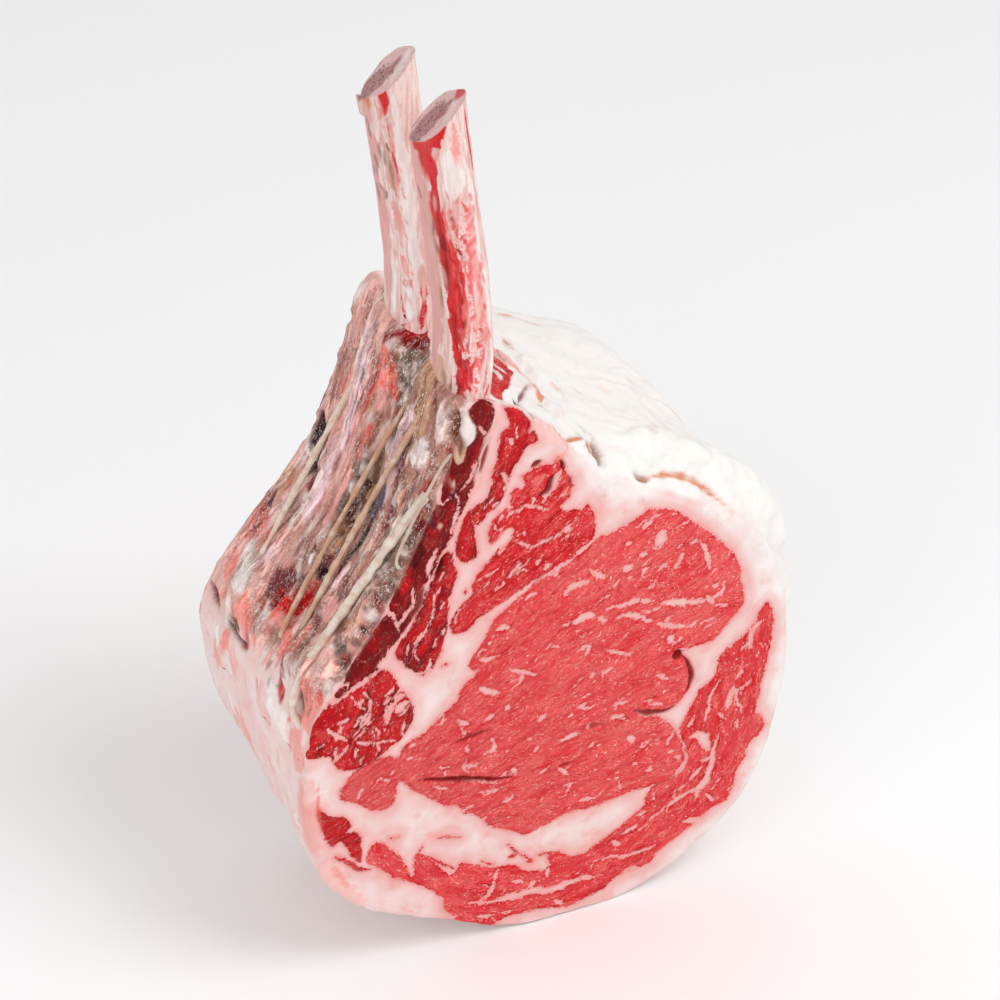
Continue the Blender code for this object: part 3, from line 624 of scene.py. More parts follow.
EDGE_MARKS = [
    # colour, strength, width, lift, route; the far part of the bone side first
    ("rose", 0.9, 15, 0.0, [(-4, 38), (-24, 37), (-46, 42)]),
    ("white", 0.9, 3, 0.3, [(0, 43), (-10, 47)]),
    ("tan", 0.8, 5, 0.0, [(-16, 31), (-26, 29)]), ("salmon", 0.5, 5, 0.0, [(-30, 33), (-46, 36)]),
    ("white", 0.9, 3.4, 0.4, [(3, 32), (-6, 27), (-14, 24), (-24, 24)]),
    ("lilac", 1.0, 10, 0.3, [(-8, 21), (-24, 19), (-40, 17), (-56, 17)]),
    ("pink", 0.9, 5, 0.0, [(-14, 13), (-30, 12), (-50, 10)]),
    ("lilac", 1.0, 9, 0.2, [(-56, 17), (-70, 16), (-86, 13)]),
    ("white", 0.9, 6, 0.3, [(-62, 22), (-76, 21), (-92, 18)]),
    ("purple grey", 0.9, 2.0, -0.3, [(-21, 18), (-27, 16)]),
    ("purple grey", 0.9, 1.8, -0.3, [(-31, 16), (-44, 14)]),
    ("maroon", 0.8, 1.8, -0.3, [(-53, 14), (-62, 13)]),
    ("hot red", 0.8, 1.8, -0.2, [(-68, 14), (-73, 12), (-79, 12)]),
    ("purple", 1.0, 11, -1.2, [(-52, 45), (-60, 39), (-69, 31), (-74, 28)]),
    ("mould and shade", 0.9, 5, -0.6, [(-69, 40), (-72, 35)]),
    ("white", 0.9, 2, 0.3, [(-64, 42), (-69, 38)]), ("purple", 1.0, 7, -1.2, [(-65, 30), (-71, 25)]),
    ("crimson", 1.0, 4, -0.6, [(-72, 26), (-76, 22)]), ("cream", 0.8, 8, 0.2, [(-72, 30), (-86, 30)]),
    ("tan", 0.9, 9, 0.0, [(-75, 45), (-86, 42)]), ("orange", 0.5, 4, 0.0, [(-79, 40), (-84, 39)]),
    ("maroon", 0.8, 4, -0.4, [(-86, 43), (-96, 40)]),
    ("salmon", 1.0, 10, 0.0, [(-94, 45), (-102, 38), (-108, 34)]),
    ("salmon", 0.8, 8, 0.0, [(-112, 42), (-121, 37)]),
    ("maroon", 0.8, 3, -0.5, [(-101, 42), (-105, 35)]),
    ("hot red", 0.8, 3.4, -0.2, [(-94, 27), (-102, 26)]),
    ("white", 1.0, 13, 0.9, [(-106, 34), (-113, 27), (-119, 20)]),
    # the wedge of lean under the back rib, and below it
    ("crimson", 1.0, 8, -0.4, [(-7, 9), (-2, 1), (2, -9)]),
    ("dark blood", 0.9, 2.4, -0.7, [(-4, 4), (-2, -2), (0, -8)]),
    ("bone white", 0.95, 4, 0.9, [(-8, 8), (-6, 3), (-5, -4)]),
    ("tan", 1.0, 3.4, 0.8, [(-2, -8), (-5, -8)]),
    ("salmon", 1.0, 10, 0.2, [(-8, 7), (-14, 5), (-22, 3)]),
    ("hot red", 1.0, 3.6, 0.0, [(-19, 8), (-27, 8), (-37, 7)]),
    ("hot red", 0.9, 2, 0.0, [(-18, 3), (-21, 3)]), ("hot red", 0.9, 2, 0.0, [(-18, 0), (-24, -3)]),
    ("pink", 0.9, 5, 0.0, [(-22, 3), (-30, 2)]),
    ("hot red", 0.8, 2.6, 0.2, [(-35, 1), (-43, 2), (-51, 3)]),
    ("pink", 0.9, 6, 0.2, [(-36, 8), (-52, 6), (-66, 5), (-80, 3)]),
    ("grey brown", 1.0, 15, 0.3, [(-4, -6), (-13, -9), (-22, -10)]),
    ("bone white", 0.9, 4, 0.6, [(-9, -12), (-14, -12)]),
    ("brown", 0.9, 3, -0.8, [(-6, -6), (-10, -9)]), ("dark", 0.8, 2, -0.8, [(-14, -5), (-16, -7)]),
    ("dark", 0.8, 2.4, -0.8, [(-19, -10), (-26, -8), (-33, -5)]),
    ("salmon", 0.9, 3.6, 0.6, [(-26, -5), (-31, -5)]),
    ("white", 1.0, 2.6, 0.8, [(-31, -5), (-34, -5)]), ("crimson", 0.9, 2, -0.4, [(-33, -7), (-35, -6)]),
    ("rose", 0.9, 6, 0.0, [(-19, -13), (-27, -13), (-37, -13)]),
    ("lilac", 1.0, 7, 0.5, [(-18, -19), (-28, -18), (-42, -20), (-54, -24)]),
    ("maroon", 0.75, 4.6, -0.4, [(-22, -22), (-32, -22), (-42, -24)]),
    ("bone strip", 1.0, 10, 0.6, [(3, -19), (-5, -23), (-14, -27), (-24, -30)]),
    ("brown", 0.9, 1.8, -0.6, [(0, -26), (-5, -30), (-11, -35)]),
    ("brown", 0.7, 1.2, -0.4, [(-4, -21), (-12, -25)]),
    ("red", 1.0, 5, -0.3, [(7, -31), (4, -35), (0, -39)]),
    ("crimson", 1.0, 5, -0.4, [(0, -43), (5, -46), (11, -48)]),
    ("bone white", 1.0, 9, 0.9, [(-1, -46), (-10, -42), (-18, -45)]),
    ("brown", 1.0, 6, -2.2, [(-5, -44), (-10, -44), (-16, -44)]),
    ("white", 1.0, 9, 2.2, [(-23, -37), (-27, -35), (-31, -34)]),
    ("white", 1.0, 5, 1.4, [(-43, -30), (-50, -31)]),
    # the hollow membrane between the strands
    ("grey brown", 1.0, 22, -0.6, [(-44, -6), (-58, -9), (-70, -10), (-84, -9)]),
    ("brown", 0.6, 5, -0.8, [(-42, -4), (-54, -3), (-66, -3)]),
    ("white", 0.95, 2.6, 1.2, [(-50, -1), (-55, -1)]),
    ("white", 0.95, 2.6, 1.2, [(-57, -1), (-63, 0)]), ("dark", 0.9, 1.8, -0.6, [(-55, -3), (-58, -3)]),
    ("bone strip", 0.9, 5, 0.2, [(-42, -9), (-50, -8)]),
    ("bone strip", 0.9, 4, 0.2, [(-56, -6), (-62, -5)]),
    ("bone strip", 0.8, 5, 0.1, [(-70, -4), (-80, -4), (-86, -4)]),
    ("brown", 0.9, 1.6, -0.7, [(-50, -6), (-58, -8), (-66, -7)]),
    ("brown", 0.9, 1.8, -0.7, [(-64, -2), (-74, -5), (-84, -8), (-90, -8)]),
    # painted shade: the purple grey band beside the third strand, where it shades the hollow
    ("purple grey", 1.0, 7, -0.6, [(-47, -17), (-56, -19), (-63, -20)]),
    # painted shade: darker grey blotches deepen the shadowed hollow between the strands
    ("mould and shade", 0.9, 7, -1.2, [(-46, -12), (-54, -13), (-62, -14)]),
    ("mould and shade", 0.7, 6, -0.8, [(-24, -8), (-30, -7), (-38, -6)]),
    ("rose", 0.9, 7, 0.1, [(-64, -14), (-76, -12), (-84, -12)]),
    ("dark", 0.9, 3.4, -1.0, [(-65, -21), (-74, -19), (-82, -17), (-91, -15)]),
    ("lilac", 0.8, 6, 0.2, [(-82, -22), (-92, -19)]),
    ("cream", 0.9, 6, 0.4, [(-56, -25), (-66, -26), (-76, -25)]),
    ("maroon", 1.0, 4.4, -0.6, [(-50, -30), (-61, -30)]),
    ("maroon", 1.0, 3.6, -0.6, [(-77, -33), (-92, -33)]),
    ("rose", 0.9, 9, 0.4, [(-84, -40), (-94, -42), (-106, -43)]),
    ("tan", 0.8, 4, 0.3, [(-92, -36), (-102, -38)]),
    ("grey brown", 0.9, 9, 0.6, [(-50, -41), (-62, -43), (-74, -44), (-85, -45)]),
    ("bone white", 0.95, 2.6, 1.0, [(-70, -38), (-82, -38), (-94, -38)]),
    ("brown", 0.8, 2.0, -0.4, [(-58, -46), (-78, -47)]),
    # the meat at the foot of the membrane
    ("dark", 1.0, 4, -1.4, [(-93, -4), (-97, -5)]), ("white", 1.0, 3.4, 0.8, [(-90, -1), (-94, 0)]),
    ("white", 0.95, 2.4, 0.8, [(-93, -8), (-96, -8)]),
    ("crimson", 0.9, 4, -0.5, [(-96, 5), (-103, 7), (-109, 9)]),
    ("maroon", 1.0, 8, -0.5, [(-101, 3), (-107, 6), (-114, 8)]),
    ("hot red", 0.7, 6, -0.2, [(-98, -5), (-104, -3)]),
    ("dark", 0.8, 1.6, -0.7, [(-97, -2), (-104, 2)]),
    ("crimson", 1.0, 4, -0.5, [(-97, -12), (-100, -14)]),
    ("red", 1.0, 9, -0.3, [(-103, -8), (-109, -3), (-115, 3)]),
    ("dark blood", 0.9, 2, -0.9, [(-108, 3), (-117, 3)]),
    ("hot red", 0.8, 3, 0.0, [(-99, -15), (-103, -14)]),
    ("pink", 0.95, 9, 0.4, [(-95, -19), (-103, -24)]),
    # the heel of the bone side
    ("salmon", 0.3, 40, 0.0, [(-146, 14), (-190, 4), (-240, -8)]),
    ("maroon", 1.0, 1.8, -1.6, [(-128, 47), (-130, 40), (-132, 34)]),
    ("salmon", 0.8, 5, 0.0, [(-126, 35), (-128, 32)]),
    ("brown", 1.0, 6, -1.6, [(-130, 21), (-132, 15)]),
    ("dark", 1.0, 3.2, -2.4, [(-132, 24), (-134, 18), (-136, 8)]),
    ("salmon", 0.85, 9, 0.0, [(-122, 16), (-128, 9)]),
    ("salmon", 0.85, 6, 0.0, [(-131, 10), (-135, 7)]),
    ("orange", 0.7, 4, 0.0, [(-146, 18), (-148, 16)]),
    ("white", 0.8, 12, 0.6, [(-138, -10), (-146, -20), (-154, -30)]),
    ("salmon", 0.9, 5, 0.3, [(-118, -5), (-123, -9), (-129, -10)]),
    ("hot red", 0.95, 1.8, -0.4, [(-118, -8), (-124, -12), (-129, -12)]),
    ("maroon", 0.9, 3, -0.8, [(-106, -19), (-110, -24)]),
    ("brown", 0.85, 3.4, -0.6, [(-124, -15), (-130, -20)]),
    ("red", 0.95, 2.4, -0.5, [(-134, -16), (-138, -20), (-142, -23)]),
    ("brown", 1.0, 3, -1.6, [(-129, -31), (-133, -35), (-138, -38)]),
    ("pale membrane", 0.95, 16, 1.0, [(-109, -31), (-116, -36), (-123, -41)]),
    ("mould and shade", 0.9, 5, -0.4, [(-104, -41), (-112, -46)]),
    ("crimson", 0.9, 2.4, -0.4, [(-107, -43), (-110, -45)]),
    ("salmon", 0.9, 14, 0.0, [(-126, -37), (-133, -42), (-140, -45)]),
    ("hot red", 0.95, 2.2, 0.0, [(-124, -44), (-129, -46)]),
    ("salmon", 0.8, 12, 0.0, [(-144, -37), (-152, -39), (-162, -40)]),
    ("salmon", 0.6, 10, 0.0, [(-160, -43), (-180, -43), (-202, -42)]),
    # hollows that the strands lie over
    (None, 0.0, 7, -1.1, [(-20, 26), (-60, 25), (-100, 25), (-118, 25)]),
    (None, 0.0, 6, -0.9, [(-22, -8), (-60, -6), (-112, -4)]),
    (None, 0.0, 6, -0.9, [(-22, -23), (-60, -19), (-104, -14)]),
    (None, 0.0, 7, -1.0, [(-44, -43), (-80, -35), (-112, -32), (-128, -36)]),
    # the fat cap
    ("pink", 0.9, 9, 0.6, [(28, 3), (39, -6), (46, -16)]),
    ("hot red", 0.7, 3, 0.0, [(40, -8), (46, -14), (50, -18)]),
    ("white", 0.9, 3, 0.4, [(26, -16), (28, -22), (25, -28)]),
    ("white", 0.9, 2, 0.3, [(31, -12), (33, -20)]),
    ("maroon", 0.95, 1.8, -1.8, [(42, -22), (34, -32), (27, -40)]),
    ("orange", 0.9, 4, 0.9, [(43, -20), (44, -27), (43, -35)]),
    ("brown", 0.9, 2.4, -1.6, [(42, -33), (45, -36)]),
    ("brown", 0.9, 4, -1.6, [(28, -37), (30, -41), (30, -46)]),
    (None, 0.0, 12, 2.0, [(50, -3), (56, -10), (60, -20)]),
    (None, 0.0, 10, 1.8, [(46, -30), (52, -36), (56, -44)]),
    ("tan", 0.6, 6, -0.5, [(47, 10), (49, 3)]), ("brown", 0.8, 2, -0.8, [(48, 8), (50, 6)]),
    ("orange", 0.8, 2.4, -0.9, [(60, 36), (68, 37), (78, 34)]),
    ("tan", 0.5, 4, -0.4, [(62, 36), (74, 37)]),
    ("orange", 0.7, 1.8, -0.7, [(59, -13), (61, -17)]), ("peach", 0.7, 5, 0.0, [(57, -12), (63, -20)]),
    ("tan", 0.7, 1.8, -0.6, [(72, -8), (76, -10)]), ("peach", 0.6, 3, -0.4, [(84, -3), (90, -6)]),
    ("orange", 1.0, 2.4, -1.2, [(40, -46), (49, -45), (58, -42), (68, -39)]),
    ("brown", 0.8, 3.0, -2.0, [(69, -38), (70, -43), (66, -48)]),
    ("orange", 0.8, 5, -1.0, [(66, -40), (65, -45)]),
    (None, 0.0, 11, 1.8, [(56, -46), (60, -45), (64, -47)]),
    ("brown", 1.0, 2.6, -1.7, [(84, -45), (93, -46)]),
    ("orange", 1.0, 2.0, -1.0, [(88, -46), (98, -43), (110, -42), (122, -43), (130, -46)]),
    (None, 0.0, 14, 1.4, [(84, -36), (100, -34), (118, -34)]),
    ("pink", 0.7, 5, -0.3, [(96, -24), (106, -24), (114, -28)]),
    ("rose", 0.5, 1.6, -0.6, [(84, -22), (96, -22)]),
    ("peach", 0.8, 2.4, -0.8, [(130, -22), (138, -28), (146, -36)]),
    ("fat shadow", 0.7, 2.2, -0.9, [(100, 10), (112, 6), (124, 8)]),
    ("fat shadow", 0.7, 2, -0.9, [(110, -10), (120, -8), (134, -14)]),
    ("fat shadow", 0.7, 2.0, -0.9, [(170, 20), (184, 12), (204, 14)]),
    ("pink", 0.5, 2.0, -0.9, [(210, -20), (230, -14), (252, -18)]),
]
# Loose fibres, frays and crumbs, drawn at random: how many, their colours, the ranges of
# `around` and of y, then of their lengths, widths and lifts; the fibres lie under the marks
# above and the crumbs over them
FIBRES = [
    (60, ("white", "cream", "tan", "rose"),
     (-108, -6), (-34, 10), (8, 26), (1.2, 3.0), (0.0, 0.5)),
    (50, ("white", "lilac", "pink", "rose"),
     (-104, -2), (10, 47), (8, 26), (1.2, 3.4), (0.0, 0.5)),
    (40, ("brown", "maroon", "purple grey"),
     (-104, -20), (-30, 8), (4, 14), (0.9, 1.6), (-0.6, -0.2)),
    (60, ("bone white", "grey brown", "white", "tan"),
     (-108, -34), (-47, -34), (3, 11), (1.0, 2.2), (0.1, 0.9)),
    (24, ("red", "hot red", "crimson", "pink"),
     (-124, -98), (-10, 12), (3, 9), (1.0, 2.2), (-0.6, 0.3)),
    (60, ("white", "salmon", "pink", "pale membrane"),
     (-150, -108), (-46, 34), (4, 14), (1.6, 4.4), (-0.3, 0.8)),
    (26, ("pink", "rose", "white"),
     (-230, -140), (-46, 40), (6, 18), (3.0, 8.0), (-0.4, 0.5)),
    (34, (None, "fat shadow", None),
     (60, 250), (-40, 44), (5, 16), (2.0, 6.0), (-0.7, 1.0)),
    (40, ("crimson", "dark blood", "maroon"),
     (-108, -16), (-49, -43), (3, 10), (1.2, 3.0), (-0.7, -0.1)),
]
CRUMBS = [
    (34, ("white", "bone white", "rose", "tan", "brown", "maroon"),
     (-112, -4), (-46, 46), (6, 22), (0.8, 1.2), (-0.3, 0.4)),
    (26, ("mould and shade", "dark", "maroon"),
     (-104, -44), (-47, -36), (1, 3), (0.8, 1.5), (-0.5, 0.0)),
    (44, ("mould and shade", "dark", "white", "bone white", "bone white"),
     (-26, -4), (-15, -2), (1, 4), (1.0, 2.2), (-0.6, 0.9)),
    (34, ("white", "bone white", "white", "tan"),
     (-108, -30), (-47, -30), (1, 4), (0.9, 2.0), (0.4, 1.2)),
    (22, ("hot red", "salmon", "maroon"),
     (-146, -112), (-44, 20), (2, 7), (0.9, 1.8), (-0.5, 0.0)),
    (16, ("dark", "brown", "maroon"),
     (-100, -70), (-16, -2), (1, 3), (0.9, 1.8), (-0.6, 0.0)),
]
EDGE_LEAN = [
    # patches of lean on the edge: how dark, width, route
    (0.5, 14, [(39, -2), (30, -15), (22, -29), (16, -40)]),
    (0.9, 5, [(30, 40), (20, 34), (8, 28)]),
]
RIDGE_HEIGHT, RIDGE_HALF_WIDTH = 4.4, 19.0    # of the bone side over each rib
EDGE_SEED, CUT_SEED, RIB_SEED, SAWN_SEED = 21, 400, 60, 300      # of the first mark drawn
HALFWAY_ROUND = 400.0                # further round, `around` is counted back from the top
# stretches of the edge: `around` where each fades in, then where it fades out
BONE_SIDE = ((-136, -124), (4, -4))
MEMBRANE = ((3, -3), (-146, -112))
FAT_CAP = ((2, 20), (330, 250))
WHITE_FAT = ((-10, 25), (300, 200))


def lerp(a, b, t):
    return a + (b - a) * t


def grain_of(flat, part):
    """Coordinates along and across the fibres, in mm."""
    x, z = flat[:, 0], flat[:, 1]
    if part == "cap":
        dx, dz = x - CAP_CENTRE[0], z - CAP_CENTRE[1]
        return np.arctan2(dx, -dz) * 80.0, np.hypot(dx, dz)
    if part in ("side", "left", "long strip", "lower strip", "upper strip"):
        c, s = math.cos(SIDE_GRAIN), math.sin(SIDE_GRAIN)
        return x * c + z * s, z * c - x * s
    dx, dz = x - FAN_CENTRE[0], z - FAN_CENTRE[1]
    return np.hypot(dx, dz), np.arctan2(dz, dx) * 210.0


def small_veins():
    """Random short veins that follow the fibres of their part."""
    random = np.random.default_rng(23)
    veins = []
    for count, part, across, upward in SMALL_VEINS:
        for _ in range(count):
            start = np.array((random.uniform(*across), random.uniform(*upward)))
            along, _ = grain_of(np.array([start, start + (0.5, 0.0), start + (0.0, 0.5)]), part)
            heading = np.array((along[1] - along[0], along[2] - along[0]))
            heading /= np.linalg.norm(heading)
            side = np.array((-heading[1], heading[0]))
            length = random.uniform(2.0, 6.5)
            bend = random.uniform(-0.25, 0.25) * length
            slant = random.uniform(-0.5, 0.5) * length
            route = [start, start + length / 2 * heading + (bend + slant / 2) * side,
                     start + length * heading + slant * side]
            veins.append((random.uniform(0.7, 1.5), route))
    return veins


def crumbled_edge():
    """Random small marks beside the bone side, written like CUT_MARKS."""
    random = np.random.default_rng(41)
    marks = []
    for first, last, count, colours in CRUMBLED_EDGE:
        first, last = np.array(first, float), np.array(last, float)
        down = (last - first) / np.linalg.norm(last - first)
        inward = np.array((-down[1], down[0]))
        for _ in range(count):
            start = lerp(first, last, random.uniform(0.0, 1.0))
            start = start + abs(random.normal(0.0, 3.0)) * inward
            end = start + random.uniform(2.0, 8.0) * (down + random.normal(0.0, 0.3) * inward)
            colour = colours[random.integers(len(colours))]
            marks.append((colour, 0.95, random.uniform(0.9, 2.6), random.uniform(-0.2, 0.9),
                          [start, (start + end) / 2, end]))
    return marks


def scattered_marks(table, seed):
    """Random strokes that run mostly round the edge, written like EDGE_MARKS."""
    random = np.random.default_rng(seed)
    marks = []
    for count, colours, around, across, length, width, lift in table:
        for _ in range(count):
            start = np.array((random.uniform(*around), random.uniform(*across)))
            run, slant = random.uniform(*length), random.normal(0.0, 0.20)
            middle = start + (-run / 2, slant * run / 2 + random.normal(0.0, 0.07 * run))
            end = start + (-run, slant * run)
            colour = colours[random.integers(len(colours))]
            marks.append((colour, 0.9, random.uniform(*width), random.uniform(*lift),
                          [start, middle, end]))
    return marks


def mark_shape(places, spot, width, route, seed, lumps=EVEN):
    """The points near a stroke, and how fully each is covered; the stroke's edge wanders."""
    wander = min(0.3 * width, 2.4)
    near = close_to(places, np.array(route, float), width / 2 + wander * 2 + 1.0)
    depth = depth_in_stroke(places[near], width, route)
    depth += wander * layered_noise(spot[near], lumps, 3, seed)
    return near, soft_step(depth, -0.9, 0.9)


def paint(tint, near, amount, colour):
    """Lays a colour over some rows of an array of red, green, blue and coverage."""
    shown = np.array(srgb(*COLOURS[colour])[:3])
    covered = amount + tint[near, 3] * (1 - amount)
    share = amount / np.maximum(covered, 1e-6)
    tint[near, :3] = lerp(tint[near, :3], shown, share[:, None])
    tint[near, 3] = covered


def draw_marks(marks, seed, places, spot, tint, lift, lumps=EVEN, only=None, painted=None):
    """Paints marks and lifts what is under them, both only within `only`; each colour is also
    held to `painted`. Every mark takes the next seed."""
    everywhere = np.ones(len(places))
    only = everywhere if only is None else only
    painted = everywhere if painted is None else painted
    for number, (colour, strength, width, height, route) in enumerate(marks, seed):
        near, cover = mark_shape(places, spot, width, route, number, lumps)
        cover = cover * only[near]
        if colour:
            paint(tint, near, strength * cover * painted[near], colour)
        lift[near] += height * cover


def srgb(red, green, blue):
    """A colour as seen, 0 to 255, in the linear values that shaders take."""
    values = [v / 255 for v in (red, green, blue)]
    return (*(v / 12.92 if v <= 0.04045 else ((v + 0.055) / 1.055) ** 2.4 for v in values), 1.0)


class Fields:
    """Everything the flesh material and the relief need at each point of the skin."""

    def __init__(self, skin):
        count = len(skin.base)
        self.skin = skin
        self.spot = skin.base.copy()
        self.spot[skin.kind == 2] += BACK_SHIFT
        self.lean = np.full(count, -FIELD_REACH)
        self.deep = np.full(count, 0.3)
        self.groove = np.zeros(count)
        self.relief = np.zeros(count)
        self.whiteness = np.zeros(count)
        self.rough = np.zeros(count)
        self.tint = np.zeros((count, 4))
        self.grain = np.zeros((count, 3))
        self.draw_cuts()
        self.draw_edge()

    def draw_edge(self):
        """Everything round the edge, fading into the two cuts."""
        skin = self.skin
        around = np.where(skin.around > HALFWAY_ROUND, skin.around - skin.total, skin.around)
        places = np.stack([around, skin.depth], axis=1)
        to_cut = np.minimum(skin.depth - FRONT, BACK - skin.depth)
        self.tint[:, 3] *= soft_step(to_cut, 9.0, 3.0)
        on_edge = (skin.kind == 1) * soft_step(to_cut + noise(self.spot, (5, 5, 5), 3), 0.5, 4.5)
        self.lay_edge_lean(places, on_edge)
        self.groove *= 1 - on_edge
        white = between(around, *WHITE_FAT)
        self.whiteness = lerp(self.whiteness, 0.12 + 0.88 * white, on_edge)
        bone_side = between(around, *BONE_SIDE)
        lift = self.edge_lumps(bone_side)
        ground = self.lay_membrane(around, on_edge)
        self.rough = ground * on_edge
        lift += 0.2 * ground
        lift += self.lay_fat_lumps(around, on_edge)
        marks = scattered_marks(FIBRES, 7) + EDGE_MARKS + scattered_marks(CRUMBS, 8)
        draw_marks(marks, EDGE_SEED, places, self.grain, self.tint, lift, STREAKED, painted=on_edge)
        creases = ridges(self.spot, (9, 5, 9), 40) * bone_side
        lift += 0.7 * creases * noise(self.spot, (20, 20, 20), 41)
        self.relief = lerp(self.relief, lift - 0.6, on_edge)

    def lay_edge_lean(self, places, on_edge):
        """Patches of lean among the fat of the edge."""
        lean = np.full(len(places), -FIELD_REACH)
        for tone, width, route in EDGE_LEAN:
            near, cover = mark_shape(places, self.spot, width, route, 4)
            lean[near] = np.maximum(lean[near], 4.0 * cover - 2.0)
            self.deep[near] = lerp(self.deep[near], tone, on_edge[near] * cover)
        self.lean = lerp(self.lean, lean, on_edge)

    def edge_lumps(self, bone_side):
        """How far the edge lifts in lumps all round and in a ridge over each rib."""
        lift = (1.3 * layered_noise(self.spot, (22, 22, 22), 2, 6)
                + 0.45 * layered_noise(self.spot, (6, 6, 6), 3, 8))
        for middle in RIB_DEPTHS.values():
            off = np.abs(self.skin.depth - middle)
            over = 1 - soft_step(off, 0.6 * RIDGE_HALF_WIDTH, RIDGE_HALF_WIDTH)
            lift += RIDGE_HEIGHT * over * bone_side
        return lift

    def lay_membrane(self, around, on_edge):
        """The bone side's ground colour, greyer towards the front; returns where it lies."""
        uneven = 4.0 * layered_noise(self.spot, (12, 12, 12), 3, 17)
        cover = between(around + uneven, *MEMBRANE)
        far = soft_step(self.skin.depth + uneven, 4, 14)
        everywhere = np.arange(len(around))
        paint(self.tint, everywhere, 0.95 * cover * on_edge, "membrane")
        paint(self.tint, everywhere, 0.9 * cover * far * on_edge, "pale membrane")
        return cover

    def lay_fat_lumps(self, around, on_edge):
        """Lumps and creases of the fat cap, torn near the front; returns how far they lift."""
        cap = between(around, *FAT_CAP)
        torn = cap * soft_step(self.skin.depth, 5, -35)
        broken = soft_step(noise(self.spot, (30, 30, 30), 47), -0.3, 0.3)
        creases = ridges(self.spot, (19, 13, 19), 43) * broken
        everywhere = np.arange(len(around))
        paint(self.tint, everywhere, 0.55 * creases * cap * on_edge, "fat shadow")
        lumps = 0.6 * layered_noise(self.spot, (13, 11, 13), 3, 44) * cap
        return lumps + 1.2 * torn * layered_noise(self.spot, (9, 7, 9), 3, 46) - 0.9 * creases * cap

    def draw_cuts(self):
        """Everything on the two cuts, carried through to the edge."""
        flat = self.skin.flat.copy()
        for axis, seed in ((0, 30), (1, 33)):        # natural, uneven edges for all that is drawn
            flat[:, axis] += EDGE_WANDER * layered_noise(self.spot, (4.5, 4.5, 4.5), 3, seed)
        self.draw_lean(flat)
        for width, deepness, route in GROOVES:
            inside_groove = soft_step(depth_in_stroke(flat, width * 1.6, route), -0.6, width * 0.6)
            self.groove = np.maximum(self.groove, inside_groove * deepness)
        lift = np.zeros(len(flat))
        marks = crumbled_edge() + CUT_MARKS
        draw_marks(marks, CUT_SEED, flat, self.grain, self.tint, lift, STREAKED)
        # fat: white towards the outer edge, pink close to the lean
        edge = front_radius(section_angle(flat)) - np.hypot(flat[:, 0], flat[:, 1] - AXIS_Z)
        right = soft_step(np.cos(np.radians(section_angle(flat) - 20)), 0.0, 0.7)
        self.whiteness = 0.45 * soft_step(edge, 17, 3) * right * soft_step(self.lean, -1, -9) + 0.10
        bulge = soft_step(self.lean, -2.0, 3.0)
        self.relief = (0.35 * bulge - 0.6 + 0.34 * layered_noise(self.spot, (10, 10, 10), 4, 1)
                       + 0.10 * bulge * noise(self.grain, (7.0, 1.6, 9.0), 9)
                       - 1.3 * self.groove + lift)

    def draw_lean(self, flat):
        """The lean parts with their fibres, cut by the fat veins."""
        self.grain[:, 0], self.grain[:, 1] = grain_of(flat, "eye")
        for part, (tone, outline) in LEAN_PARTS.items():
            depth = depth_inside(flat, np.array(outline, float))
            over = depth > self.lean
            along, across = grain_of(flat, part)
            self.grain[over, 0], self.grain[over, 1] = along[over], across[over]
            self.lean = np.maximum(self.lean, depth)
            self.deep = lerp(self.deep, tone, soft_step(depth, -1.5, 0.5))
        self.grain[:, 2] = self.spot[:, 1]
        for width, route in LEAN_STREAKS:
            self.lean = np.maximum(self.lean, depth_in_stroke(flat, width, route))
        uneven = 0.55 * layered_noise(self.spot, (2.6, 2.6, 2.6), 2, 36)
        for width, route in FAT_VEINS + small_veins():
            self.lean = np.minimum(self.lean, -depth_in_stroke(flat, width, route) - uneven)


# ---- building the pieces ------------------------------------------------------------------
# how an attribute with so many values at a point is kept
FIELD_KINDS = {1: ("FLOAT", "value"), 3: ("FLOAT_VECTOR", "vector"), 4: ("FLOAT_COLOR", "color")}


def write_field(mesh, name, values):
    kind, key = FIELD_KINDS[values.size // len(values)]
    mesh.attributes.new(name, kind, "POINT").data.foreach_set(key, values.ravel())


def placed(name, data):
    """A new object with its data, in the scene."""
    made = bpy.data.objects.new(name, data)
    bpy.context.scene.collection.objects.link(made)
    return made


def normals_of(points, faces):
    """Vertex normals by area, for (N, 3) points and lists of triangles or quads."""
    total = np.zeros_like(points)
    for group in faces:
        corners = points[group]
        if group.shape[1] == 4:
            first, second = corners[:, 2] - corners[:, 0], corners[:, 3] - corners[:, 1]
        else:
            first, second = corners[:, 1] - corners[:, 0], corners[:, 2] - corners[:, 0]
        cross = np.cross(first, second)
        for k in range(group.shape[1]):
            np.add.at(total, group[:, k], cross)
    lengths = np.linalg.norm(total, axis=1)
    return total / np.maximum(lengths, 1e-9)[:, None]


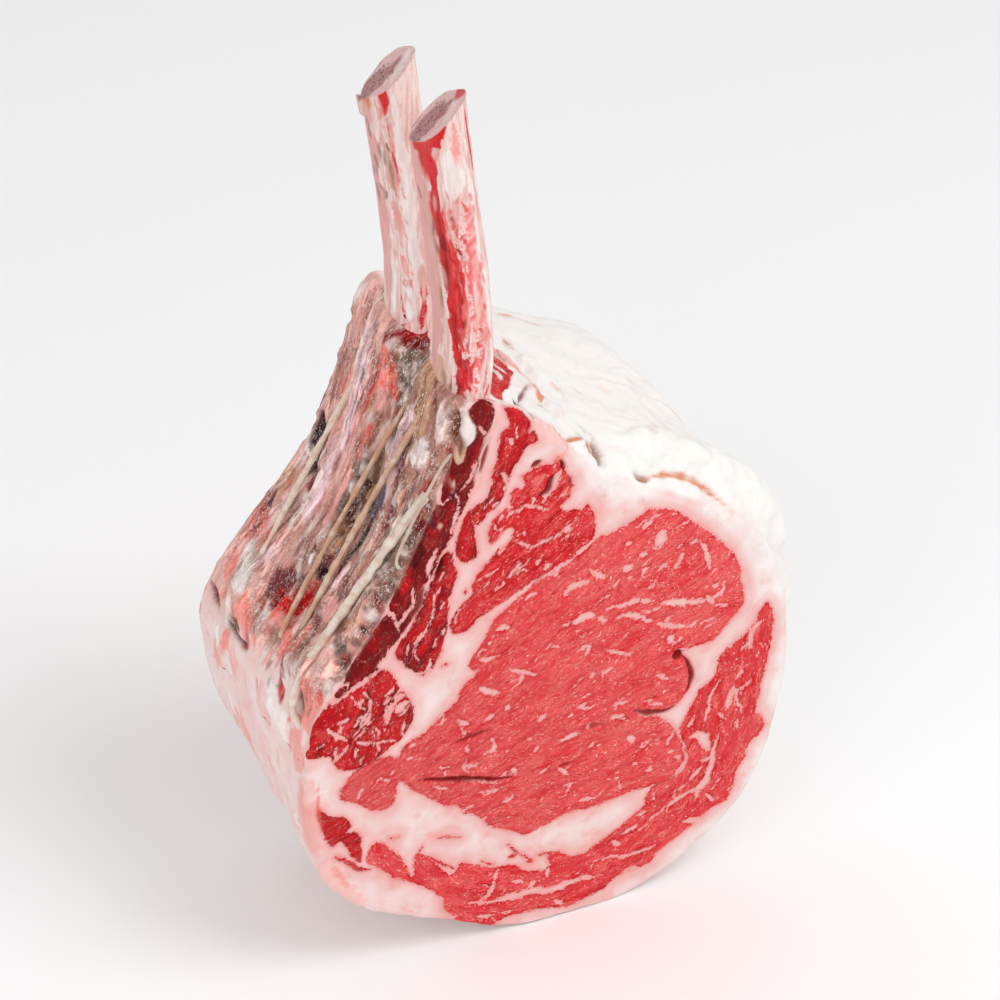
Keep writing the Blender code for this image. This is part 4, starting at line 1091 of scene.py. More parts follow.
class Flesh:
    """The skin with its relief, cut into the pieces that stand for the CAD nodes."""

    def __init__(self):
        self.skin = Skin()
        skin = self.skin
        columns = np.arange(len(skin.rim))
        everything = [skin.front_triangles, skin.back_triangles, skin.side_quads(columns)]
        self.fields = Fields(skin)
        outward = normals_of(skin.base, everything)
        self.points = skin.base + outward * self.fields.relief[:, None]
        self.points[:, 2] = np.maximum(self.points[:, 2], 0.0)
        self.normals = normals_of(self.points, everything)

    def region(self, node):
        """The closed outline of a node on the drawing."""
        skin = self.skin
        if node == "rib_meat":
            start, end = skin.rib_ends
            return np.vstack([skin.rib_edge, skin.rim[end:], skin.rim[:start + 1]])
        return skin.flat[skin.loops[node]]

    def triangles_in(self, nodes, wanted):
        """The triangles of both cuts that lie in the nodes, or all the others."""
        result = []
        for triangles in (self.skin.front_triangles, self.skin.back_triangles):
            middles = self.skin.flat[triangles].mean(axis=1)
            held = np.zeros(len(triangles), bool)
            for node in nodes:
                held |= inside(middles, self.region(node))
            result.append(triangles[held == wanted])
        return result

    def wall(self, node, extra, start):
        """Hidden rows between the cuts along a node's outline; new points go to `extra`."""
        skin = self.skin
        front = np.array(skin.loops[node])
        closed = node != "rib_meat"
        last = skin.row_count - 1
        rows = np.linspace(0, last, WALL_ROWS if closed else OPEN_WALL_ROWS).astype(int)
        faces, previous = [], front
        for at, row in enumerate(rows[1:], 1):
            if row == last:
                current = front + skin.back_start
            else:
                y = skin.base[skin.row(row)[0], 1]
                current = np.arange(len(front)) + start + sum(len(e) for e in extra)
                extra.append(carried(skin.flat[front], y))
            if not closed:
                current[0], current[-1] = skin.row(row)[list(skin.rib_ends)]
            pairs = zip(range(len(front)), range(1, len(front) + closed))
            faces += [(previous[i], previous[j % len(front)], current[j % len(front)], current[i])
                      for i, j in pairs]
            if not closed:
                for column, turned in zip(skin.rib_ends, (True, False)):
                    side = [skin.row(r)[column] for r in range(rows[at - 1], row + 1)]
                    if len(side) > 2:
                        faces.append(tuple(side[::-1] if turned else side))
            previous = current
        return faces

    def make(self, name, node, inner, columns):
        """One closed mesh: its share of both cuts and of the edge, and its hidden walls."""
        skin = self.skin
        is_fat = node == "fat"
        front, back = self.triangles_in(inner if is_fat else [node], wanted=not is_fat)
        faces = [tuple(f) for f in np.vstack([front, back])]
        if columns is not None:
            faces += [tuple(f) for f in skin.side_quads(columns)]
        extra = []
        for loop in (inner if is_fat else [node]):
            walls = self.wall(loop, extra, len(self.points))
            faces += [f[::-1] for f in walls] if is_fat else walls
        points = np.vstack([self.points] + extra)
        normals = np.vstack([self.normals] + [np.tile((0.0, 0.0, 1.0), (len(e), 1)) for e in extra])
        used = np.unique(np.concatenate([np.array(f) for f in faces]))
        number = np.full(len(points), -1)
        number[used] = np.arange(len(used))
        mesh = bpy.data.meshes.new(name)
        mesh.from_pydata(points[used] * MM, [], [number[list(f)].tolist() for f in faces])
        mesh.shade_smooth()
        self.write_fields(mesh, used)
        mesh.normals_split_custom_set_from_vertices(normals[used])
        return placed(name, mesh)

    def write_fields(self, mesh, used):
        known = used < len(self.points)
        for name in ("lean", "deep", "groove", "whiteness", "rough", "grain", "tint"):
            field = getattr(self.fields, name)
            values = np.zeros((len(used),) + field.shape[1:])
            values[known] = field[used[known]]
            write_field(mesh, name, values)


# ---- materials ----------------------------------------------------------------------------
class Shading:
    """A material and short ways of adding nodes to it."""

    def __init__(self, name):
        self.material = bpy.data.materials.new(name)
        self.material.use_nodes = True
        self.tree = self.material.node_tree
        self.surface = self.tree.nodes["Principled BSDF"]

    def add(self, kind, inputs, **settings):
        node = self.tree.nodes.new(kind)
        for key, value in settings.items():
            setattr(node, key, value)
        for key, value in inputs.items():
            self.put(node, key, value)
        return node

    def put(self, node, key, value):
        if isinstance(value, bpy.types.NodeSocket):
            self.tree.links.new(value, node.inputs[key])
        else:
            node.inputs[key].default_value = value

    def millimetres(self):
        """The object's coordinates in millimetres."""
        return self.scaled(self.add("ShaderNodeTexCoord", {}).outputs["Object"], (1 / MM,) * 3)

    def attribute(self, name):
        return self.add("ShaderNodeAttribute", {}, attribute_name=name)

    def math(self, operation, first, second=0.0):
        return self.add("ShaderNodeMath", {0: first, 1: second}, operation=operation).outputs[0]

    def plus(self, first, second):
        return self.math("ADD", first, second)

    def times(self, first, second):
        return self.math("MULTIPLY", first, second)

    def step(self, value, low, high, start=0.0, end=1.0):
        return self.add("ShaderNodeMapRange", {0: value, 1: low, 2: high, 3: start, 4: end},
                        interpolation_type="SMOOTHSTEP").outputs[0]

    def mix(self, amount, first, second, blend="MIX"):
        node = self.add("ShaderNodeMix", {}, data_type="RGBA", blend_type=blend)
        self.put(node, 0, amount)
        self.put(node, 6, first)
        self.put(node, 7, second)
        return node.outputs[2]

    def tinted(self, amount, colour, by):
        """The colour, multiplied by another as far as the amount says."""
        return self.mix(amount, colour, self.mix(1.0, colour, by, "MULTIPLY"))

    def scaled(self, vector, scale):
        return self.add("ShaderNodeVectorMath", {0: vector, 1: scale},
                        operation="MULTIPLY").outputs[0]

    def noise(self, vector, detail=2.0, roughness=0.5, scale=1.0, distortion=0.0):
        return self.add("ShaderNodeTexNoise", {"Vector": vector, "Scale": scale, "Detail": detail,
                                               "Roughness": roughness,
                                               "Distortion": distortion}).outputs[0]

    def warped(self, vector, scale, amounts):
        """The vector pushed about by smooth noise, by up to half the amounts."""
        cloud = self.add("ShaderNodeTexNoise", {"Vector": vector, "Scale": scale, "Detail": 2.0})
        push = self.add("ShaderNodeVectorMath", {0: cloud.outputs["Color"], 1: (0.5, 0.5, 0.5)},
                        operation="SUBTRACT").outputs[0]
        return self.add("ShaderNodeVectorMath", {0: push, 1: amounts, 2: vector},
                        operation="MULTIPLY_ADD").outputs[0]

    def centred(self, value, amount):
        """Noise around 0.5 turned into a push of up to half the amount either way."""
        return self.times(self.math("SUBTRACT", value, 0.5), amount)

    def threads(self, value, width):
        """1 on the thin winding lines where a noise passes its middle."""
        off = self.math("ABSOLUTE", self.math("SUBTRACT", value, 0.5))
        return self.step(off, width, width * 0.3)

    def cells(self, vector):
        """Distance from the middle of each cell, one cell a unit wide."""
        return self.add("ShaderNodeTexVoronoi", {"Vector": vector, "Scale": 1.0}).outputs["Distance"]

    def ramp(self, value, stops):
        node = self.add("ShaderNodeValToRGB", {0: value})
        elements = node.color_ramp.elements
        while len(elements) < len(stops):
            elements.new(0.5)
        for element, (position, colour) in zip(elements, stops):
            element.position = position
            element.color = colour
        return node.outputs[0]

    def finish(self, colour, roughness, height=None, depth=0.0, **constants):
        self.put(self.surface, "Base Color", colour)
        self.put(self.surface, "Roughness", roughness)
        for name, value in constants.items():
            self.put(self.surface, name.replace("_", " "), value)
        if height is not None:
            bump = self.add("ShaderNodeBump",
                            {"Height": height, "Distance": depth, "Strength": 1.0})
            self.put(self.surface, "Normal", bump.outputs[0])
        return self.material


LEAN_COLOURS = [(0.0, srgb(238, 88, 88)), (0.22, srgb(230, 66, 70)), (0.45, srgb(218, 32, 40)),
                (0.72, srgb(192, 4, 16)), (1.0, srgb(118, 0, 6))]
FAT_PINK, FAT_WHITE = srgb(230, 178, 174), srgb(238, 235, 232)
MARBLING, MARBLING_PALE = srgb(248, 150, 140), srgb(248, 200, 192)
FAT_BLUSH, FAT_GREY, FAT_RED = srgb(228, 138, 132), srgb(220, 210, 203), srgb(226, 112, 108)
THREAD_PALE, CRUMB_PALE, CRUMB_DARK = srgb(248, 238, 230), srgb(244, 236, 230), srgb(96, 50, 46)
GROOVE_SHADE = (0.34, 0.08, 0.08, 1.0)


def lean_colour(s, spot, grain, deep):
    """Red muscle: bands and fibres along the grain, dark flecks and pale threads of marbling."""
    patchy = s.noise(spot, 3.0, 0.6, scale=0.11)
    bands = s.noise(s.scaled(grain, (0.07, 0.42, 0.2)), 4.0, 0.62)
    fibre = s.noise(s.scaled(grain, (0.5, 1.7, 0.9)), 3.0, 0.65)
    tone = s.plus(deep, s.plus(s.centred(patchy, 0.75), s.centred(bands, 1.15)))
    red = s.ramp(tone, LEAN_COLOURS)
    shade = s.mix(s.step(fibre, 0.30, 0.70), (0.80, 0.66, 0.68, 1.0), (1.08, 1.30, 1.28, 1.0))
    red = s.mix(1.0, red, shade, "MULTIPLY")
    dark = s.step(s.noise(s.scaled(grain, (0.45, 1.3, 0.7)), 2.0, 0.5), 0.40, 0.30, 0.0, 0.6)
    red = s.tinted(dark, red, (0.72, 0.35, 0.40, 1.0))
    winding = s.noise(s.scaled(grain, (0.30, 0.72, 0.5)), 2.5, 0.55, distortion=1.3)
    broken = s.step(s.noise(s.scaled(grain, (0.16, 0.36, 0.4)), 2.0, 0.6), 0.46, 0.56)
    thread = s.times(s.threads(winding, 0.030), broken)
    spots = s.noise(s.scaled(grain, (0.55, 1.15, 0.8)), 1.5, 0.5, distortion=1.0)
    fleck = s.step(spots, 0.66, 0.71)
    fade = s.step(deep, 1.0, 0.3, 0.25, 1.0)
    red = s.mix(s.times(s.times(thread, 0.8), fade), red, MARBLING)
    red = s.mix(s.times(s.times(fleck, 0.8), fade), red, MARBLING_PALE)
    return red, fibre, bands


def fat_colour(s, spot, whiteness, lean):
    patchy = s.noise(spot, 3.0, 0.6, scale=0.08)
    far = s.step(lean, -2.0, -7.0, 0.0, 0.35)
    pale = s.plus(s.plus(whiteness, far), s.centred(patchy, 1.1))
    fat = s.mix(pale, FAT_PINK, FAT_WHITE)
    blush = s.step(s.noise(spot, 4.0, 0.65, scale=0.13), 0.52, 0.78, 0.0, 0.5)
    fat = s.mix(s.times(blush, s.step(whiteness, 0.9, 0.2)), fat, FAT_BLUSH)
    grey = s.step(s.noise(spot, 3.0, 0.6, scale=0.22), 0.55, 0.75, 0.0, 0.35)
    fat = s.mix(grey, fat, FAT_GREY)
    # beside the lean, and in thin veins, the red shows through
    return s.mix(s.step(lean, -2.2, -0.1, 0.0, 0.42), fat, FAT_RED)


def stained(s, spot, grain, colour):
    """The colour with the painted marks over it: soft stains on the fat and the cuts, and crisp,
    streaky, flecked fibres on the rough bone side."""
    tint, rough = s.attribute("tint"), s.attribute("rough").outputs["Fac"]
    alpha = tint.outputs["Alpha"]
    streak = s.noise(s.scaled(grain, (0.13, 0.8, 0.5)), 5.0, 0.68, distortion=0.3)
    crumb = s.noise(spot, 4.0, 0.7, scale=0.9)
    patchy = s.noise(spot, 2.0, 0.5, scale=0.07)
    lively = s.times(rough, s.step(patchy, 0.62, 0.42, 0.4, 1.0))
    shade = s.mix(s.step(streak, 0.32, 0.68), (0.60, 0.50, 0.48, 1.0), (1.18, 1.17, 1.15, 1.0))
    shade = s.mix(s.plus(0.2, s.times(lively, 0.8)), (1.0, 1.0, 1.0, 1.0), shade)
    shown = s.mix(1.0, tint.outputs["Color"], shade, "MULTIPLY")
    band = s.noise(s.scaled(grain, (0.035, 0.28, 0.30)), 3.0, 0.6, distortion=0.5)
    band = s.mix(s.step(band, 0.38, 0.62), (0.66, 0.56, 0.54, 1.0), (1.17, 1.15, 1.13, 1.0))
    shown = s.tinted(s.times(lively, 0.8), shown, band)
    deeper = s.add("ShaderNodeGamma", {"Color": shown, "Gamma": 1.3}).outputs["Color"]
    shown = s.mix(rough, shown, s.mix(1.0, deeper, (1.18, 1.18, 1.20, 1.0), "MULTIPLY"))
    thread = s.noise(s.scaled(grain, (0.05, 0.75, 0.55)), 3.0, 0.6, distortion=0.6)
    pale = s.times(s.threads(thread, 0.030), s.step(crumb, 0.42, 0.55, 0.0, 0.75))
    shown = s.mix(s.times(pale, lively), shown, THREAD_PALE)
    shown = s.mix(s.times(s.step(crumb, 0.58, 0.68, 0.0, 0.7), lively), shown, CRUMB_PALE)
    shown = s.mix(s.times(s.step(crumb, 0.40, 0.30, 0.0, 0.6), lively), shown, CRUMB_DARK)
    uneven = s.plus(s.centred(streak, 0.9), s.centred(crumb, 0.5))
    crisp = s.times(s.step(s.plus(alpha, uneven), 0.35, 0.65), s.step(alpha, 0.0, 0.25))
    soft = s.times(alpha, s.step(s.plus(alpha, s.times(uneven, 0.8)), 0.0, 0.9))
    cover = s.plus(s.times(crisp, rough), s.times(soft, s.math("SUBTRACT", 1.0, rough)))
    return s.mix(cover, colour, shown), s.times(cover, rough), streak, crumb


def flesh_material():
    s = Shading("flesh")
    spot = s.millimetres()
    grain = s.warped(s.attribute("grain").outputs["Vector"], 0.07, (3.0, 6.0, 0.0))
    grain = s.warped(grain, 0.35, (1.0, 1.0, 0.0))
    lean, deep, groove, whiteness = (s.attribute(name).outputs["Fac"]
                                     for name in ("lean", "deep", "groove", "whiteness"))
    rim = s.step(lean, 1.6, 0.0, 0.0, 0.18)                # the lean is deeper beside the fat
    red, fibre, bands = lean_colour(s, spot, grain, s.plus(deep, rim))
    # the boundary between lean and fat follows the fibres
    frayed = s.plus(s.centred(fibre, 3.2), s.centred(s.noise(spot, 3.0, 0.6, scale=0.8), 1.6))
    ragged = s.plus(lean, s.plus(frayed, s.centred(bands, 1.6)))
    is_lean = s.step(ragged, -0.22, 0.30)
    colour = s.mix(is_lean, fat_colour(s, spot, whiteness, lean), red)
    colour, cover, streak, crumb = stained(s, spot, grain, colour)
    colour = s.tinted(s.step(groove, 0.1, 0.9), colour, GROOVE_SHADE)
    muscle_relief = s.math("SUBTRACT", s.plus(fibre, bands), 1.0)
    stain_relief = s.math("SUBTRACT", s.plus(streak, crumb), 1.0)
    relief = s.plus(s.times(muscle_relief, is_lean), s.times(stain_relief, cover))
    roughness = s.step(fibre, 0.2, 0.8, 0.38, 0.55)
    return s.finish(colour, roughness, relief, 0.0007, Specular_IOR_Level=0.13)


# ---- pieces -------------------------------------------------------------------------------
def dress(piece, material, node):
    piece.data.materials.append(material)
    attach(piece, "root")
    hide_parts(node)


def make_flesh():
    flesh = Flesh()
    skin = flesh.skin
    material = flesh_material()
    start, end = skin.rib_ends
    count = len(skin.rim)
    bone_columns = np.r_[np.arange(end, count), np.arange(0, start)]
    fat_columns = np.arange(start, end)
    inner = ["eye_muscle", "cap_muscle", "rib_meat"]
    for name, node, slot, columns in (
            ("eye_flesh", "eye_muscle", "lean", None),
            ("cap_flesh", "cap_muscle", "lean", None),
            ("rib_flesh", "rib_meat", "dark_lean", bone_columns),
            ("fat_cover", "fat", "fat", fat_columns)):
        dress(flesh.make(name, node, inner, columns), material, node)


# ---- ribs and strands ---------------------------------------------------------------------
RIB_PATH = [
    (-39, 382), (-35, 345), (-31, 312), (-28, 288), (-26, 262), (-28, 239), (-36, 213),
    (-52, 180), (-70, 149), (-81, 134),
]
RIB_SAW_HEIGHTS = {"rib_front": 347.0, "rib_back": 345.0}
RIB_SAW_X = -36.0
RIB_SAW_SLOPE = (1.13, -0.52)
RIB_HALF_WIDTH, RIB_HALF_THICKNESS, RIB_SQUARENESS = 17.0, 8.6, 2.6
RIB_SIDES = 150
RIB_ROW_STEP = 0.85 * COARSE
RIB_CUT_RINGS = 16
RIB_INSET = 0.4                      # the marks lift from this far under the solid's face
RIB_COVERED = (214, 196)             # the heights between which the skin covers the ribs
RIB_THINNING = 1.6
PORES_WIDTH = 12
DEGREE_LENGTH = 0.24                 # millimetres round a rib for one degree of turn
# Marks on a rib are (turn, z): turn runs round the section in degrees, 180 faces the bone side
# and 270 the front cut; z is the height.
RIB_MARKS = {
    "rib_front": [
        # colour, strength, width, lift, route
        # partly painted shade: greyer pink bone down the left side, which is turned from the light
        ("bone grey", 1.0, 15, 0.0, [(160, 350), (160, 300), (160, 236)]),
        ("tan", 0.4, 4, 0.0, [(182, 338), (186, 310), (184, 250)]),
        ("bone white", 0.9, 10, 0.2, [(250, 342), (250, 330), (244, 318)]),
        ("pink", 0.8, 7, 0.0, [(276, 330), (280, 300), (282, 262)]),
        ("white", 0.9, 3.2, 0.4, [(283, 345), (285, 310), (290, 280), (294, 245)]),
        ("salmon", 0.7, 3, 0.0, [(268, 352), (266, 344), (262, 336)]),
        ("salmon", 0.7, 5, -0.1, [(218, 318), (226, 300), (232, 280), (226, 262)]),
        ("speckle", 0.38, 14, 0.0, [(248, 322), (254, 300), (256, 270), (252, 240)]),
        ("blood", 1.0, 7, -0.2, [(168, 334), (190, 339), (215, 343), (244, 350)]),
        ("blood", 1.0, 9, -0.3, [(190, 343), (197, 335), (202, 324)]),
        ("salmon", 0.8, 4, -0.1, [(214, 336), (226, 340), (238, 342)]),
        ("blood", 1.0, 7.0, -0.5, [(202, 336), (204, 320), (205, 306), (207, 290)]),
        ("blood", 1.0, 11, -0.6, [(206, 306), (210, 292), (216, 282), (212, 268)]),
        ("blood", 1.0, 5.0, -0.5, [(219, 284), (210, 274), (206, 266), (211, 258), (219, 254)]),
        ("blood", 0.9, 3.4, -0.4, [(220, 280), (220, 266), (222, 256)]),
        ("dark blood", 1.0, 2.4, -0.4, [(201, 322), (201, 308), (200, 294), (199, 282)]),
        ("dark blood", 0.9, 2.0, -0.5, [(206, 274), (208, 266), (212, 260)]),
        ("blood", 0.9, 3.0, -0.2, [(226, 306), (232, 298), (243, 289), (242, 279)]),
        ("blood", 1.0, 5.4, -0.5, [(226, 257), (230, 250), (226, 241)]),
        ("dark blood", 0.9, 2.2, -0.5, [(222, 248), (223, 240)]),
        ("red", 0.8, 2.4, -0.1, [(246, 256), (249, 249)]),
        ("red", 0.7, 2, 0.0, [(272, 262), (274, 246)]),
        ("red", 0.9, 1.8, 0.0, [(299, 357), (300, 345), (300, 332)]),
        ("salmon", 0.7, 3, 0.0, [(300, 326), (303, 308)]),
        ("tan", 1.0, 10, 0.0, [(180, 252), (184, 228), (196, 206)]),
        ("brown", 0.8, 1.4, -0.4, [(198, 250), (204, 238), (203, 222)]),
        ("brown", 0.7, 1.2, -0.3, [(184, 248), (196, 238)]),
        ("cream", 0.9, 9, 0.2, [(248, 244), (246, 234), (240, 226)]),
        ("bone white", 0.9, 5, 0.5, [(228, 236), (236, 230)]),
    ],
    "rib_back": [
        # partly painted shade: greyer pink bone down the left side, which is turned from the light
        ("bone grey", 0.9, 12, 0.0, [(160, 350), (160, 300), (162, 250)]),
        ("orange", 0.8, 3.0, -0.3, [(170, 346), (172, 338), (175, 330)]),
        ("blood", 0.95, 3.0, -0.2, [(186, 345), (204, 348), (222, 350)]),
        ("blood", 0.95, 4.6, -0.2, [(214, 350), (216, 343), (214, 334)]),
        ("red", 0.9, 1.8, -0.3, [(217, 334), (219, 324), (222, 312), (223, 298)]),
        ("red", 0.8, 1.4, -0.2, [(224, 318), (226, 306), (230, 296)]),
        ("tan", 0.9, 5.0, -0.2, [(202, 322), (204, 312), (206, 304)]),
        ("maroon", 0.6, 3.0, -0.2, [(206, 316), (209, 306)]),
        ("salmon", 0.8, 5.0, 0.0, [(206, 300), (210, 290), (212, 284)]),
        ("bone white", 1.0, 7.0, 0.2, [(243, 345), (240, 300), (240, 262)]),
        ("white", 0.9, 2.4, 0.3, [(181, 276), (182, 260), (180, 244)]),
        ("rose", 0.8, 3, -0.2, [(170, 276), (168, 246)]),
        ("salmon", 0.9, 4.0, 0.3, [(204, 277), (213, 274), (217, 271)]),
        ("hot red", 0.7, 3.0, 0.3, [(203, 264), (212, 266), (220, 265)]),
        ("hot red", 0.9, 4.0, 0.3, [(203, 254), (210, 257), (216, 259)]),
        ("orange", 0.7, 3.0, 0.2, [(220, 262), (224, 256)]),
        ("dark blood", 0.9, 1.6, -0.2, [(205, 252), (208, 252)]),
        ("maroon", 0.8, 1.6, -0.2, [(230, 252), (236, 254)]),
        ("red", 0.75, 4.6, -0.2, [(252, 269), (253, 258), (248, 248)]),
        ("rose", 0.8, 4.0, 0.0, [(252, 276), (252, 266)]),
        ("white", 0.9, 6.0, 0.3, [(214, 268), (218, 256), (222, 248)]),
        ("red", 0.8, 2.0, 0.0, [(196, 246), (212, 250)]),
        ("cream", 0.9, 5.0, 2.0, [(158, 336), (163, 328)]),
        # painted shadow: where the front rib shades the face of the back rib that looks towards it
        ("bone grey", 0.9, 7.0, 0.0, [(282, 330), (282, 290), (280, 244)]),
    ],
}
# Small random streaks down the ribs: how many, their colours, the ranges of turn and of z, of
# their lengths and of their widths
RIB_SPECKLES = {
    "rib_front": [
        (150, ("speckle", "red", "speckle", "hot red"), (214, 286), (238, 326), (1, 5), (0.5, 1.1)),
        (50, ("blood", "red", "dark blood"), (210, 250), (240, 318), (1, 5), (0.6, 1.3)),
        (18, ("bone white", "pink"), (226, 300), (240, 345), (4, 14), (0.7, 1.6)),
        (12, ("brown", "rose"), (150, 200), (236, 340), (3, 10), (0.7, 1.6)),
    ],
    "rib_back": [
        (60, ("speckle", "salmon", "rose"), (196, 232), (246, 345), (1, 5), (0.7, 1.8)),
        (18, ("bone white", "rose", "pink"), (180, 290), (246, 345), (4, 16), (0.8, 2.0)),
        (24, ("brown", "grey brown", "rose"), (160, 208), (290, 340), (2, 7), (0.7, 1.8)),
    ],
}
# Marks on the sawn ends are (along y, along x) from the middle of the rib.
SAWN_MARKS = [
    ("marrow", 0.8, 11, -0.2, [(-2, -2), (4, -1), (12, -1)]),
    ("marrow", 0.9, 6, -0.2, [(-4, 1), (0, 2)]),
    ("bone white", 0.5, 7, 0.0, [(-14, -1), (-8, 3), (-4, 6)]),
]
SAWN_TIP = {"rib_front": ("blood", 0.9, 6, 0.3, [(-9, 7), (-5, 8)]),
            "rib_back": ("bone white", 0.6, 4, 0.0, [(-8, 7), (-5, 8)])}
STRANDS = {
    "strand_1": (1.3, [(-36, 27, 220), (-43, 24, 223), (-89, 24, 147), (-90, 25, 139)]),
    "strand_2": (1.15, [(-36, -10, 220), (-42, -10, 222), (-87, -5, 142), (-87, -4, 134)]),
    "strand_3": (1.3, [(-36, -22, 218), (-44, -24, 222), (-82, -15, 149), (-82, -13, 139)]),
    "strand_4": (1.9, [(-42, -40, 204), (-52, -43, 201), (-82, -32, 150), (-93, -32, 135),
                       (-99, -36, 123), (-95, -38, 113)]),
    "strand_5": (0.7, [(-36, -45, 223), (-44, -47, 217), (-60, -46, 185), (-55, -44, 177)]),
}
STRAND_COLOURS = {"strand_1": (236, 220, 202), "strand_2": (214, 168, 140),
                  "strand_3": (218, 182, 156), "strand_4": (232, 218, 204),
                  "strand_5": (206, 190, 176)}
STRAND_SIDES = 20
STRAND_STEP = 0.5 * COARSE


def rib_rows(node):
    """Points of a rib from the saw cut down, as (rows, sides, 3), and each point's turn."""
    depth = RIB_DEPTHS[node]
    path = even_spacing(smooth_through(RIB_PATH, 24, closed=False), 0.5, closed=False)
    tangent = np.gradient(path, axis=0)
    tangent /= np.linalg.norm(tangent, axis=1)[:, None]
    turns = np.linspace(0, math.tau, RIB_SIDES, endpoint=False)
    across = np.sign(np.cos(turns)) * np.abs(np.cos(turns)) ** (2 / RIB_SQUARENESS)
    along = np.sign(np.sin(turns)) * np.abs(np.sin(turns)) ** (2 / RIB_SQUARENESS)
    x = path[:, :1] - tangent[:, 1:] * across * RIB_HALF_THICKNESS
    z = path[:, 1:] + tangent[:, :1] * across * RIB_HALF_THICKNESS
    y = depth + np.tile(along * RIB_HALF_WIDTH, (len(path), 1))
    above = (z - RIB_SAW_HEIGHTS[node] - RIB_SAW_SLOPE[0] * (x - RIB_SAW_X)
             - RIB_SAW_SLOPE[1] * (y - depth))
    rows = int(lengths_along(path)[-1] / RIB_ROW_STEP)
    points = np.zeros((rows, RIB_SIDES, 3))
    steps = np.arange(len(path), dtype=float)
    for side in range(RIB_SIDES):
        first = np.interp(0.0, -above[:, side][:len(path) // 2], steps[:len(path) // 2])
        marks = np.linspace(first, len(path) - 1, rows)
        for axis, values in enumerate((x, y, z)):
            points[:, side, axis] = np.interp(marks, steps, values[:, side])
    points[:, :, 0] += AXIS_X
    return points, np.degrees(turns)


def ring_faces(rows, sides, start=0):
    """Quads between rows of points that each go once round."""
    i, j = np.meshgrid(np.arange(rows - 1), np.arange(sides), indexing="ij")
    here = start + i * sides + j
    beside = start + i * sides + (j + 1) % sides
    return np.stack([here, here + sides, beside + sides, beside], axis=-1).reshape(-1, 4)


def mesh_piece(name, points, faces, fields):
    """A smooth mesh in metres from millimetre points, with its named fields."""
    mesh = bpy.data.meshes.new(name)
    mesh.from_pydata(points * MM, [], [list(map(int, face)) for face in faces])
    mesh.shade_smooth()
    for field, values in fields.items():
        write_field(mesh, field, values)
    return placed(name, mesh)


def rib_speckles(node):
    """Random small marks down a rib, written like RIB_MARKS."""
    random = np.random.default_rng(31)
    marks = []
    for count, colours, turn, height, length, width in RIB_SPECKLES[node]:
        for _ in range(count):
            start = np.array((random.uniform(*turn), random.uniform(*height)))
            end = start + (random.normal(0.0, 6.0), -random.uniform(*length))
            colour = colours[random.integers(len(colours))]
            marks.append((colour, 0.9, random.uniform(*width), 0.0,
                          [start, (start + end) / 2, end]))
    return marks


def rib_faces(row_count, sides):
    """Faces down a rib and over its sawn end, in groups of one kind, and the flat bottom."""
    j = np.arange(sides)
    beside = (j + 1) % sides
    sawn = row_count * sides
    last_ring = sawn + (RIB_CUT_RINGS - 2) * sides
    centre = np.full(sides, last_ring + sides)
    groups = [
        ring_faces(row_count, sides),
        ring_faces(RIB_CUT_RINGS - 1, sides, sawn)[:, ::-1],
        np.stack([beside, sawn + beside, sawn + j, j], axis=1),
        np.stack([last_ring + beside, centre, last_ring + j], axis=1),
    ]
    return groups, (row_count - 1) * sides + j


def rib_looks(node, base, turn, sawn):
    """The painted colour, the lift and the pores at each point of a rib."""
    places = np.stack([turn * DEGREE_LENGTH, base[:, 2]], axis=1)
    ends = np.stack([base[:, 1] - RIB_DEPTHS[node], base[:, 0] - AXIS_X - RIB_SAW_X], axis=1)
    tint = np.zeros((len(base), 4))
    tint[sawn] = (*srgb(*COLOURS["cut bone"])[:3], 1.0)
    lift = (0.35 * layered_noise(base, (9, 9, 26), 3, 51)
            + 0.12 * layered_noise(base, (2.5, 2.5, 6), 2, 54))
    lift[sawn] = 0.4 * layered_noise(base[sawn], (3, 3, 3), 3, 55)
    marks = [(*look, [(degrees * DEGREE_LENGTH, z) for degrees, z in route])
             for *look, route in RIB_MARKS[node] + rib_speckles(node)]
    draw_marks(marks, RIB_SEED, places, base, tint, lift, only=~sawn)
    draw_marks(SAWN_MARKS + [SAWN_TIP[node]], SAWN_SEED, ends, base, tint, lift, only=sawn)
    pores = np.zeros(len(base))
    near, cover = mark_shape(ends, base, PORES_WIDTH, SAWN_MARKS[0][4], 95)
    pores[near] = cover * sawn[near]
    return tint, lift, pores


def rib_piece(node):
    """One rib, down from its sawn end and thinner where the skin covers it."""
    rows, turns = rib_rows(node)
    row_count, sides = rows.shape[:2]
    top = rows[0]
    middle = top.mean(axis=0)
    shares = 1 - np.arange(1, RIB_CUT_RINGS) / RIB_CUT_RINGS
    rings = middle + (top - middle) * shares[:, None, None]
    base = np.vstack([rows.reshape(-1, 3), rings.reshape(-1, 3), middle])
    sawn = np.arange(len(base)) >= row_count * sides
    turn = np.r_[np.tile(turns, row_count), np.zeros(np.count_nonzero(sawn))]
    tint, lift, pores = rib_looks(node, base, turn, sawn)
    groups, bottom = rib_faces(row_count, sides)
    hidden = soft_step(base[:, 2], *RIB_COVERED) * RIB_THINNING
    points = base + normals_of(base, groups) * (lift - RIB_INSET - hidden)[:, None]
    faces = [tuple(f) for group in groups for f in group] + [tuple(bottom)]
    return mesh_piece(node + "_bone", points, faces, {"tint": tint, "pores": pores})


